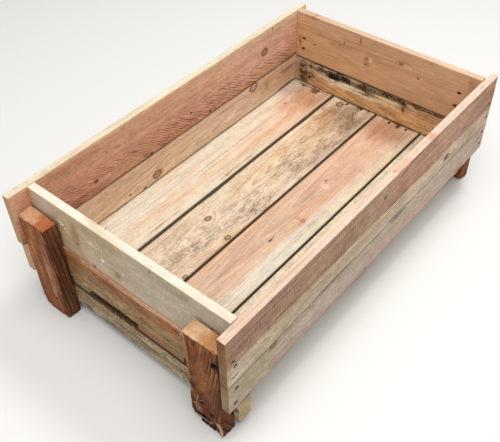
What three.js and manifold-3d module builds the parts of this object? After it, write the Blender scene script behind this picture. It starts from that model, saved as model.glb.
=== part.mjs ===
// A raised planter: a shallow box of reclaimed softwood boards on four short legs.
// Two long sides and two ends, each two boards high, are screwed to the legs. Four floor boards
// lie lengthwise on three bearers, and the legs are screwed through into the end bearers.
//
// Millimetres, +Z up. The origin is on the ground under the middle of the box.
// X runs along the planter, Y across it. The front side is at -Y and the left end at -X.

import * as THREE from "three";
import { mergeVertices } from "three/addons/utils/BufferGeometryUtils.js";
import Module from "manifold-3d";

const wasm = await Module();
wasm.setup();

// Driving dimensions.
const LENGTH = 1085;            // from the back side's left end to the right legs
const WIDTH = 626;              // over the outer faces of the two long sides
const GAP = 0.3;                // clearance kept between pieces that touch
const BOARD = 20;               // thickness of the side and end boards
const FLOOR_THICK = 18.7;       // thickness of the floor boards
const LEG = { thick: 38, wide: 89, tall: 304 };
const BEARER = { thick: 38, tall: 71, bottom: 26 };
const BEARER_INSETS = { left: 8, middle: 34, right: 34 };   // from the outer faces of the sides
const LEG_INSETS = { left: 47, right: 38 };      // legs' inner faces, from the ends of the box
const SIDE_ROWS = {                              // lower and upper board of each long side, in Z
  front: [[118, 205.2], [205.5, 352]],
  back: [[118, 210.5], [210.8, 356]],
};
const SIDE_ENDS = {                              // where its boards start and stop, in X
  front: [[-531.5, 535.5], [-531.5, 535.5]],
  back: [[-536, 528.5], [-LENGTH / 2, 528.5]],
};
const END_ROWS = {                               // lower and upper board of each end, in Z
  left: [[124, 222], [222.3, 355]],
  right: [[118, 205.2], [205.5, 354]],
};
const UPPER_SETBACK = { left: 4, right: 0 };     // an upper end board set in from the lower one
const FLOOR_WIDTHS = [150, 145.8, 140.7, 147.5]; // from the back to the front
const FLOOR_SPACES = [9, 7, 6];                  // drainage gaps between them
const FLOOR_STARTS = [-491.5, -479.5, -491.5, -491.5];   // each floor board's left end
const FLOOR_END = 500;
const EASE = { board: 0.8, leg: 2.5, bearer: 2 };  // worn corners along each timber
const BOARD_SCREW = { shank: 2.1, head: 4, long: 45, sides: 8 };
const LEG_SCREW = { shank: 2.5, head: 4.8, long: 66, sides: 8 };
const TIP = { radius: 0.4, length: 2 };            // a screw's tip, as shares of its shank radius
const HEAD_SINK = 1;                               // depth of a screw head below the wood
const HOLE_MOUTH = 2 * HEAD_SINK;                  // how far a screw's hole reaches above its head
const RECESS = { radius: 1.5, depth: 1.8, mouth: 1, sides: 4 };  // the drive recess in the head
const MERGE = 1e-4;                                // vertices closer than this are one

// Screws at each leg: how far from the leg's outer corner line, and how high.
const SCREWS = {
  front_left: {
    side: [[22, 136], [28, 184], [27, 259], [21, 277]],
    end: [[30, 156], [52, 202], [34, 242], [50, 294]],
    foot: [[34, 53], [62, 76]],
  },
  back_left: {
    side: [[20, 138], [24, 184], [19, 252], [23, 288]],
    end: [[50, 156], [28, 202], [56, 242], [32, 270]],
    foot: [[20, 68], [60, 58]],
  },
  front_right: {
    side: [[15, 141], [13, 182], [16, 229], [14, 274]],
    end: [[50, 146], [55, 184], [57, 252], [53, 294]],
    foot: [[30, 72], [60, 54]],
  },
  back_right: {
    side: [[18, 136], [22, 184], [20, 254], [24, 290]],
    end: [[52, 146], [56, 186], [26, 237], [28, 272]],
    foot: [[28, 54], [58, 74]],
  },
};

const COLOURS = {
  pinkBoard: 0xc9a07c,
  redBoard: 0xb07c5a,
  tanBoard: 0xb8946c,
  creamBoard: 0xd8c4a0,
  mouldyBoard: 0xa98b68,
  orangeLeg: 0x9a6440,
  paleBearer: 0xb3a283,
  screw: 0x4a4640,
};

const LEVELS = ["lower", "upper"];
const SCREW_LEVELS = ["lower", "lower", "upper", "upper"];   // the board each of four screws holds

const half = (value) => value / 2;
const sideOf = (row) => (row === "front" ? -1 : 1);
const endOf = (column) => (column === "left" ? -1 : 1);

// Where the legs stand along X, and the inner limit of the side boards in Y.
const legSpan = {
  left: [-LENGTH / 2 + LEG_INSETS.left - LEG.thick, -LENGTH / 2 + LEG_INSETS.left],
  right: [LENGTH / 2 - LEG_INSETS.right, LENGTH / 2],
};
const innerY = half(WIDTH) - BOARD;
const floorTop = BEARER.bottom + BEARER.tall + GAP + FLOOR_THICK;

const planter = new THREE.Group();
planter.name = "planter";
const pieces = {};

// Booleans on closed meshes.
function toSolid(geometry) {
  const bare = geometry.clone();
  bare.deleteAttribute("normal");
  bare.deleteAttribute("uv");
  const merged = mergeVertices(bare, MERGE);
  return new wasm.Manifold(new wasm.Mesh({
    numProp: 3,
    vertProperties: new Float32Array(merged.attributes.position.array),
    triVerts: new Uint32Array(merged.index.array),
  }));
}

function toGeometry(solid) {
  const mesh = solid.getMesh();
  const geometry = new THREE.BufferGeometry();
  geometry.setAttribute("position", new THREE.BufferAttribute(mesh.vertProperties, 3));
  geometry.setIndex(new THREE.BufferAttribute(mesh.triVerts, 1));
  geometry.computeVertexNormals();
  return geometry;
}

function finish(colour, roughness = 0.85, metalness = 0) {
  return new THREE.MeshStandardMaterial({ color: colour, roughness, metalness });
}

// A timber's section: a rectangle about the origin with eased corners.
function section(across, up, ease) {
  const x = half(across);
  const y = half(up);
  const shape = new THREE.Shape();
  shape.moveTo(-x + ease, -y);
  shape.lineTo(x - ease, -y);
  shape.lineTo(x, -y + ease);
  shape.lineTo(x, y - ease);
  shape.lineTo(x - ease, y);
  shape.lineTo(-x + ease, y);
  shape.lineTo(-x, y - ease);
  shape.lineTo(-x, -y + ease);
  shape.closePath();
  return shape;
}

// A timber filling the box between two corners, with its grain along X, Y or Z.
function addTimber(name, low, high, grain, ease, colour) {
  const size = new THREE.Vector3().subVectors(high, low);
  const along = { x: size.x, y: size.y, z: size.z }[grain];
  const across = grain === "x" ? size.y : size.x;
  const up = grain === "z" ? size.y : size.z;
  const geometry = new THREE.ExtrudeGeometry(section(across, up, ease), {
    depth: along,
    bevelEnabled: false,
  });
  geometry.translate(0, 0, -half(along));
  if (grain === "x") {
    geometry.rotateY(half(Math.PI));
    geometry.rotateX(half(Math.PI));
  }
  if (grain === "y") {
    geometry.rotateX(half(Math.PI));
  }
  const centre = new THREE.Vector3().addVectors(low, high).multiplyScalar(0.5);
  geometry.translate(centre.x, centre.y, centre.z);
  pieces[name] = { solid: toSolid(geometry), material: finish(colour) };
}

// The two boards of each long side.
function addSides() {
  const looks = {
    front: [COLOURS.creamBoard, COLOURS.pinkBoard],
    back: [COLOURS.tanBoard, COLOURS.redBoard],
  };
  for (const row of ["front", "back"]) {
    const faces = [sideOf(row) * innerY, sideOf(row) * half(WIDTH)].sort((a, b) => a - b);
    LEVELS.forEach((level, index) => {
      const [bottom, top] = SIDE_ROWS[row][index];
      const [start, stop] = SIDE_ENDS[row][index];
      addTimber(
        `${row}_side_${level}_board`,
        new THREE.Vector3(start, faces[0], bottom),
        new THREE.Vector3(stop, faces[1], top),
        "x", EASE.board, looks[row][index],
      );
    });
  }
}

// The outer face of an end board lies against the legs' inner faces.
function endFaces(column, level) {
  const setback = level === "upper" ? UPPER_SETBACK[column] : 0;
  const outer = column === "left" ? legSpan.left[1] + GAP + setback : legSpan.right[0] - GAP - setback;
  const inner = outer - endOf(column) * BOARD;
  return [Math.min(outer, inner), Math.max(outer, inner)];
}

function addEnds() {
  const looks = {
    left: [COLOURS.redBoard, COLOURS.creamBoard],
    right: [COLOURS.mouldyBoard, COLOURS.tanBoard],
  };
  for (const column of ["left", "right"]) {
    LEVELS.forEach((level, index) => {
      const [near, far] = endFaces(column, level);
      const [bottom, top] = END_ROWS[column][index];
      addTimber(
        `${column}_end_${level}_board`,
        new THREE.Vector3(near, -innerY + GAP, bottom),
        new THREE.Vector3(far, innerY - GAP, top),
        "y", EASE.board, looks[column][index],
      );
    });
  }
}

// Four legs, flat against the ends of the box and inside the long sides.
function addLegs() {
  for (const column of ["left", "right"]) {
    for (const row of ["front", "back"]) {
      const outer = sideOf(row) * (innerY - GAP);
      const inner = outer - sideOf(row) * LEG.wide;
      addTimber(
        `${row}_${column}_leg`,
        new THREE.Vector3(legSpan[column][0], Math.min(outer, inner), 0),
        new THREE.Vector3(legSpan[column][1], Math.max(outer, inner), LEG.tall),
        "z", EASE.leg, COLOURS.orangeLeg,
      );
    }
  }
}

// Three bearers across the box: one behind each pair of legs and one in the middle.
function addBearers() {
  const starts = {
    left: legSpan.left[1] + GAP,
    middle: -half(BEARER.thick),
    right: legSpan.right[0] - GAP - BEARER.thick,
  };
  for (const [place, start] of Object.entries(starts)) {
    const reach = half(WIDTH) - BEARER_INSETS[place];
    addTimber(
      `${place}_bearer`,
      new THREE.Vector3(start, -reach, BEARER.bottom),
      new THREE.Vector3(start + BEARER.thick, reach, BEARER.bottom + BEARER.tall),
      "y", EASE.bearer, COLOURS.paleBearer,
    );
  }
}

// Four floor boards along the box, counted from the back, with gaps for drainage.
function addFloor() {
  const colours = [COLOURS.creamBoard, COLOURS.mouldyBoard, COLOURS.pinkBoard, COLOURS.creamBoard];
  const total = [...FLOOR_WIDTHS, ...FLOOR_SPACES].reduce((sum, value) => sum + value, 0);
  let back = half(total);
  FLOOR_WIDTHS.forEach((width, index) => {
    addTimber(
      `floor_board_${index + 1}`,
      new THREE.Vector3(FLOOR_STARTS[index], back - width, floorTop - FLOOR_THICK),
      new THREE.Vector3(FLOOR_END, back, floorTop),
      "x", EASE.board, colours[index],
    );
    back -= width + (FLOOR_SPACES[index] ?? 0);
  });
}

// A countersunk screw pointing along -Z from its head, which is at the origin. With a margin it
// is the hole for that screw, and then it also reaches up through the wood over the head.
function screwProfile({ shank, head, long }, margin) {
  const cone = head - shank;
  const top = margin > 0 ? HOLE_MOUTH : 0;
  const outline = [
    [0, -long - margin],
    [shank * TIP.radius + margin, -long - margin],
    [shank + margin, -long + shank * TIP.length],
    [shank + margin, -cone - margin],
    [head + margin, 0],
  ];
  if (top > 0) {
    outline.push([head + margin, top]);
  }
  outline.push([0, top]);
  return outline.map(([radius, height]) => new THREE.Vector2(radius, height));
}

function lathed(profile, sides) {
  const geometry = new THREE.LatheGeometry(profile, sides);
  geometry.rotateX(half(Math.PI));
  return geometry;
}

function screwSolid(kind) {
  const body = toSolid(lathed(screwProfile(kind, 0), kind.sides));
  const recess = toSolid(lathed([
    new THREE.Vector2(0, -RECESS.depth),
    new THREE.Vector2(RECESS.radius, -RECESS.depth),
    new THREE.Vector2(RECESS.radius, RECESS.mouth),
    new THREE.Vector2(0, RECESS.mouth),
  ], RECESS.sides));
  return body.subtract(recess);
}

function placed(solid, position, direction) {
  const turn = new THREE.Quaternion().setFromUnitVectors(new THREE.Vector3(0, 0, -1), direction);
  const matrix = new THREE.Matrix4().compose(position, turn, new THREE.Vector3(1, 1, 1));
  return solid.transform(matrix.elements);
}

// Drive one screw: cut its hole in every piece that it passes through, then add it.
function addScrew(name, kind, surface, direction, through) {
  const position = surface.clone().addScaledVector(direction, HEAD_SINK);
  const hole = placed(toSolid(lathed(screwProfile(kind, GAP), kind.sides)), position, direction);
  for (const piece of through) {
    pieces[piece].solid = pieces[piece].solid.subtract(hole);
  }
  pieces[name] = {
    solid: placed(screwSolid(kind), position, direction),
    material: finish(COLOURS.screw, 0.45, 0.8),
  };
}

// The screws at one leg: from the long side, from inside the end, and through its foot.
function addLegScrews(row, column) {
  const leg = `${row}_${column}_leg`;
  const corner = `${row}_${column}`;
  const { side, end, foot } = SCREWS[corner];
  const cornerX = column === "left" ? legSpan.left[0] : legSpan.right[0];

  side.forEach(([inset, height], index) => {
    const surface = new THREE.Vector3(cornerX + inset, sideOf(row) * half(WIDTH), height);
    const inward = new THREE.Vector3(0, -sideOf(row), 0);
    const board = `${row}_side_${SCREW_LEVELS[index]}_board`;
    addScrew(`${corner}_side_screw_${index + 1}`, BOARD_SCREW, surface, inward, [board, leg]);
  });

  end.forEach(([inset, height], index) => {
    const [near, far] = endFaces(column, SCREW_LEVELS[index]);
    const y = sideOf(row) * (innerY - inset);
    const surface = new THREE.Vector3(column === "left" ? far : near, y, height);
    const outward = new THREE.Vector3(endOf(column), 0, 0);
    const board = `${column}_end_${SCREW_LEVELS[index]}_board`;
    addScrew(`${corner}_end_screw_${index + 1}`, BOARD_SCREW, surface, outward, [board, leg]);
  });

  foot.forEach(([inset, height], index) => {
    const face = column === "left" ? legSpan.left[0] : legSpan.right[1];
    const surface = new THREE.Vector3(face, sideOf(row) * (innerY - inset), height);
    const inward = new THREE.Vector3(-endOf(column), 0, 0);
    const bearer = `${column}_bearer`;
    addScrew(`${corner}_foot_screw_${index + 1}`, LEG_SCREW, surface, inward, [leg, bearer]);
  });
}

addSides();
addEnds();
addLegs();
addBearers();
addFloor();
for (const row of ["front", "back"]) {
  for (const column of ["left", "right"]) {
    addLegScrews(row, column);
  }
}

for (const [name, { solid, material }] of Object.entries(pieces)) {
  const mesh = new THREE.Mesh(toGeometry(solid), material);
  mesh.name = name;
  planter.add(mesh);
}

export default planter;
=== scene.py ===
"""A raised planter of reclaimed boards on four legs: sawn, knotty, weathered wood with sunk screws."""
import math
import random
from dataclasses import dataclass, field

import bmesh
import bpy
import numpy as np
from mathutils import Matrix, Vector


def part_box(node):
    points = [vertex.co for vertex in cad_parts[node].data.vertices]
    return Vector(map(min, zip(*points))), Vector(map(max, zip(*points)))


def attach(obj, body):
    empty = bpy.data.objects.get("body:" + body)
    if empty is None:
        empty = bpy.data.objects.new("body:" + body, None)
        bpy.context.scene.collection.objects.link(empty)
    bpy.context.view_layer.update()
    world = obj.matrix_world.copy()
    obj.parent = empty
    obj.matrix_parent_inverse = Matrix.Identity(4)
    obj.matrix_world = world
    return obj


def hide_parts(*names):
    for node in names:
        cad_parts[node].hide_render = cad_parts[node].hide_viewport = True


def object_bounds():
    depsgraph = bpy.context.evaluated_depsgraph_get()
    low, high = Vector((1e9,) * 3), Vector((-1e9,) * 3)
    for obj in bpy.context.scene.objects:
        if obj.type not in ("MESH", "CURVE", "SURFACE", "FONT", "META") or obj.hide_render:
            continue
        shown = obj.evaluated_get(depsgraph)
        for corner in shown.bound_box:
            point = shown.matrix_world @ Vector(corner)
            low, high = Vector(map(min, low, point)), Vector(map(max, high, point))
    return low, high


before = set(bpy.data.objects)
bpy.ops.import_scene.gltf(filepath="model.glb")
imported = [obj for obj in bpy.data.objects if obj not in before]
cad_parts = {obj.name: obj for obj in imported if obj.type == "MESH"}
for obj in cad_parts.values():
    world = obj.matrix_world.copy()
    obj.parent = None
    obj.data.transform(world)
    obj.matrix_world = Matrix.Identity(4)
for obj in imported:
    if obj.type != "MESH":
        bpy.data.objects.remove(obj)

MM = 0.001
CAD_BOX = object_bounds()

# ---------------------------------------------------------------- camera, floor and light

CAMERA_AT = Vector((-1.0592, -0.8357, 1.4018))   # from the middle of the planter's footprint
LOOKED_AT = Vector((-0.0794, 0.0014, 0.156))
CAMERA_ROLL = math.radians(-1.32)
LENS = 51.87
SHIFT = (-0.0048, -0.0266)

FLOOR_SIZE = 30.0
FLOOR_COLOUR = "#e9e8e5"
SKY = 0.37                                       # strength of the light from all round
SOFTBOXES = (                                    # name, place, diameter, power
    ("overhead", (-0.9, -0.9, 3.6), 3.6, 112),
    ("key", (1.75, -0.25, 3.5), 0.9, 50),
)
LIT_POINT = (0, 0, 0.2)


def footprint_middle():
    low, high = CAD_BOX
    return Vector(((low.x + high.x) / 2, (low.y + high.y) / 2, low.z))


def linear(code):
    """A hex colour as linear RGBA."""
    channels = [int(code[i:i + 2], 16) / 255 for i in (1, 3, 5)]
    return tuple(c / 12.92 if c <= 0.04045 else ((c + 0.055) / 1.055) ** 2.4 for c in channels) + (1,)


def make_camera():
    data = bpy.data.cameras.new("camera")
    data.lens = LENS
    data.shift_x, data.shift_y = SHIFT
    camera = bpy.data.objects.new("camera", data)
    bpy.context.scene.collection.objects.link(camera)
    camera.location = footprint_middle() + CAMERA_AT
    aim = (LOOKED_AT - CAMERA_AT).to_track_quat("-Z", "Y").to_matrix()
    camera.rotation_euler = (aim @ Matrix.Rotation(CAMERA_ROLL, 3, "Z")).to_euler()
    bpy.context.scene.camera = camera


def make_floor():
    mesh = bpy.data.meshes.new("studio_floor")
    half = FLOOR_SIZE / 2
    corners = [(-half, -half, 0), (half, -half, 0), (half, half, 0), (-half, half, 0)]
    mesh.from_pydata(corners, [], [(0, 1, 2, 3)])
    material = bpy.data.materials.new("studio_floor")
    material.use_nodes = True
    shader = material.node_tree.nodes["Principled BSDF"]
    shader.inputs["Base Color"].default_value = linear(FLOOR_COLOUR)
    shader.inputs["Roughness"].default_value = 0.9
    mesh.materials.append(material)
    floor = bpy.data.objects.new("studio_floor", mesh)
    floor.location = (0, 0, CAD_BOX[0].z)
    bpy.context.scene.collection.objects.link(floor)


def make_light():
    world = bpy.data.worlds.new("studio")
    world.use_nodes = True
    background = world.node_tree.nodes["Background"]
    background.inputs["Color"].default_value = (1, 1, 1, 1)
    background.inputs["Strength"].default_value = SKY
    bpy.context.scene.world = world
    bpy.context.scene.view_settings.view_transform = "Standard"
    for name, place, diameter, power in SOFTBOXES:
        data = bpy.data.lights.new(name, "AREA")
        data.shape = "DISK"
        data.size = diameter
        data.energy = power
        light = bpy.data.objects.new(name, data)
        light.location = place
        light.rotation_euler = (Vector(LIT_POINT) - Vector(place)).to_track_quat("-Z", "Y").to_euler()
        bpy.context.scene.collection.objects.link(light)


# ---------------------------------------------------------------- shader graphs

class Graph:
    """A material's node tree, written as sums on its sockets."""

    def __init__(self, name):
        self.material = bpy.data.materials.new(name)
        self.material.use_nodes = True
        self.tree = self.material.node_tree
        self.tree.nodes.clear()

    def node(self, kind, **settings):
        made = self.tree.nodes.new(kind)
        for key, value in settings.items():
            setattr(made, key, value)
        return made

    def feed(self, socket, value):
        if isinstance(value, bpy.types.NodeSocket):
            self.tree.links.new(value, socket)
        else:
            socket.default_value = value

    def math(self, operation, *values):
        made = self.node("ShaderNodeMath", operation=operation)
        for socket, value in zip(made.inputs, values):
            self.feed(socket, value)
        return made.outputs[0]

    def add(self, *values):
        total = values[0]
        for value in values[1:]:
            total = self.math("ADD", total, value)
        return total

    def less(self, value, taken):
        return self.math("SUBTRACT", value, taken)

    def times(self, *values):
        total = values[0]
        for value in values[1:]:
            total = self.math("MULTIPLY", total, value)
        return total

    def vector(self, operation, *values):
        made = self.node("ShaderNodeVectorMath", operation=operation)
        for socket, value in zip(made.inputs, values):
            self.feed(socket, value)
        return made.outputs["Value" if operation == "LENGTH" else "Vector"]

    def stretch(self, vector, factors):
        return self.vector("MULTIPLY", vector, factors)

    def distance(self, offset, per_metre_x, per_metre_y):
        """How long an offset is in the timber's face, stretched along and across."""
        return self.vector("LENGTH", self.stretch(offset, (per_metre_x, per_metre_y, 0)))

    def split(self, vector):
        made = self.node("ShaderNodeSeparateXYZ")
        self.feed(made.inputs[0], vector)
        return made.outputs

    def join(self, x, y, z):
        made = self.node("ShaderNodeCombineXYZ")
        for socket, value in zip(made.inputs, (x, y, z)):
            self.feed(socket, value)
        return made.outputs[0]

    def noise(self, vector, detail=2.0, roughness=0.5):
        """Smooth noise about 0.5, one cell per unit of the vector."""
        made = self.node("ShaderNodeTexNoise")
        self.feed(made.inputs["Vector"], vector)
        made.inputs["Scale"].default_value = 1.0
        made.inputs["Detail"].default_value = detail
        made.inputs["Roughness"].default_value = roughness
        return made.outputs[0]

    def swing(self, vector, amount, detail=2.0):
        """Noise that swings about 0 by roughly the amount."""
        return self.times(self.less(self.noise(vector, detail), 0.5), 2 * amount)

    def step(self, value, low, high):
        """0 below low, 1 above high, smooth between; falls if low is above high."""
        made = self.node("ShaderNodeMapRange", interpolation_type="SMOOTHSTEP")
        self.feed(made.inputs["Value"], value)
        rising = low < high
        made.inputs["From Min"].default_value = min(low, high)
        made.inputs["From Max"].default_value = max(low, high)
        made.inputs["To Min"].default_value = 0.0 if rising else 1.0
        made.inputs["To Max"].default_value = 1.0 if rising else 0.0
        return made.outputs[0]

    def ramp(self, value, stops):
        made = self.node("ShaderNodeValToRGB")
        self.feed(made.inputs[0], value)
        elements = made.color_ramp.elements
        while len(elements) < len(stops):
            elements.new(0.5)
        for element, (position, code) in zip(elements, stops):
            element.position = position
            element.color = linear(code)
        return made.outputs[0]

    def blend(self, factor, first, second, mode="MIX"):
        made = self.node("ShaderNodeMix", data_type="RGBA", blend_type=mode, clamp_factor=True)
        self.feed(made.inputs[0], factor)
        self.feed(made.inputs[6], first)
        self.feed(made.inputs[7], second)
        return made.outputs[2]

    def cover(self, factor, colour, code):
        """The colour, going over to a hex colour."""
        return self.blend(factor, colour, linear(code))

    def tint(self, factor, colour, code):
        """The colour, going over to its product with a hex colour."""
        return self.blend(factor, colour, linear(code), "MULTIPLY")

    def shade(self, colour, factor):
        """The colour times a number socket."""
        return self.blend(1.0, colour, self.join(factor, factor, factor), "MULTIPLY")

    def surface(self, colour, roughness, height, metallic=0.0, specular=0.25):
        shader = self.node("ShaderNodeBsdfPrincipled")
        self.feed(shader.inputs["Base Color"], colour)
        self.feed(shader.inputs["Roughness"], roughness)
        shader.inputs["Metallic"].default_value = metallic
        shader.inputs["Specular IOR Level"].default_value = specular
        bump = self.node("ShaderNodeBump")
        bump.inputs["Distance"].default_value = 1.0
        bump.inputs["Strength"].default_value = 1.0
        self.feed(bump.inputs["Height"], height)
        self.feed(shader.inputs["Normal"], bump.outputs[0])
        output = self.node("ShaderNodeOutputMaterial")
        self.feed(output.inputs["Surface"], shader.outputs[0])
        return self.material


# ---------------------------------------------------------------- the timbers

@dataclass
class Patch:
    """A stained, bruised or bleached place on a timber, some rows painted shade and shadow: middle and half
    sizes in mm.
    """
    x: float
    y: float
    reach_x: float
    reach_y: float
    colour: str
    strength: float = 0.7
    speckle: float = 0.0                # 0 for a plain smear, 1 for spots of mould
    side: int = 0                       # 1 or -1 keeps it on the +z or -z half


@dataclass
class Hollow:
    """A torn or rotten dip in a wide face: middle, half sizes and depth in mm."""
    x: float
    y: float
    side: int
    reach_x: float
    reach_y: float
    deep: float


@dataclass
class Wood:
    """How one timber looks. Its own axes: x along the grain, y across its width, z through it."""
    axes: str                           # which way it lies: a key of AXES
    near: list                          # colours across the width at the -x end: (0 to 1, hex)
    far: list = None                    # the same at the +x end, where it differs
    turn: float = 0.0                   # where near gives way to far, in metres along x
    edge: str = None                    # colour of the upper narrow face, where it differs
    end: str = "#b08a62"                # colour of the end grain
    end_rings: float = 0.6              # how clear the rings are on the ends, 0 to 1
    bend: float = 0.06                  # how far the bands of colour wave, as a share of the width
    late: str = "#c39a7c"               # what the dark part of each ring multiplies by
    contrast: float = 0.4               # how dark the rings are, 0 to 1
    ring: float = 3.5                   # ring width, mm
    pith: tuple = (60.0, -50.0)         # the rings' centre in y and z, mm
    tilt: tuple = (0.01, 0.02)          # how the centre drifts along x
    wander: float = 4.0                 # how far the grain wanders, mm
    lines: float = 0.5                  # strength of the fine dark lines along the grain
    line: str = "#b58a6c"               # what those lines multiply by
    grit: float = 0.5                   # speckle from torn fibres and dirt
    flecks: float = 0.3                 # short dark dashes
    variety: float = 1.6                # how much light and dark there is in it
    streaks: list = field(default_factory=list)     # (hex, strength, cells per metre along, across)
    mark: str = "#a8765c"               # what the grooves of a saw mark multiply by: painted shade
    knots: list = field(default_factory=list)       # (x, y, radius in mm, 0 dark to 1 light heart)
    ripple: tuple = (9.0, 0.2, 0.0)     # saw marks: spacing mm, slant, strength 0 to 1
    ripple_zone: tuple = (0.0, 1.0)     # where across the width they show, 0 to 1
    ripple_span: tuple = (-700, 700)    # where along it they show, mm
    patches: list = field(default_factory=list)     # rows of Patch's values
    seam_grime_and_shade: tuple = (0.45, 0.0)          # grime and painted shade along the lower and upper corners, 0 to 1
    narrow_shade: float = 0.0                   # painted shade on the narrow faces, 0 to 1
    narrow_shade_colour: str = "#75603f"               # the colour of that painted shade
    grey: float = 0.2                   # weathering
    rough: float = 0.5                  # how deep the fibres stand, 0 to 1
    round: float = 1.0                  # radius of its worn corners, mm
    torn: float = 0.6                   # how ragged its ends are, mm
    chips: list = field(default_factory=list)       # (x, y sign, z sign, length, depth), mm
    hollows: list = field(default_factory=list)     # rows of Hollow's values
    cracks: list = field(default_factory=list)      # (x, y, length, width in mm, slope)
    holes: list = field(default_factory=list)       # old nail holes: (x, y, z sign, radius, depth), mm
    mesh_step: tuple = (5.0, 4.5)       # spacing of the mesh along and across the grain, mm
    slot: str = "tan_board"


# Each way of lying gives the world directions of a timber's own x, y and z axes.
AXES = {
    "side": ((1, 0, 0), (0, 0, 1), (0, -1, 0)),
    "end": ((0, 1, 0), (0, 0, 1), (1, 0, 0)),
    "flat": ((1, 0, 0), (0, 1, 0), (0, 0, 1)),
    "post": ((0, 0, 1), (0, 1, 0), (-1, 0, 0)),
}

UMBER = "#3a2415"
MOULD = "#4a3a2c"
FLOOR_END_SHADE = "#4a2f1c"                   # painted shade on a floor board's end, where it runs under the right end
RESIN = "#8f6238"                       # dark wood round the right end's knots

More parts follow.
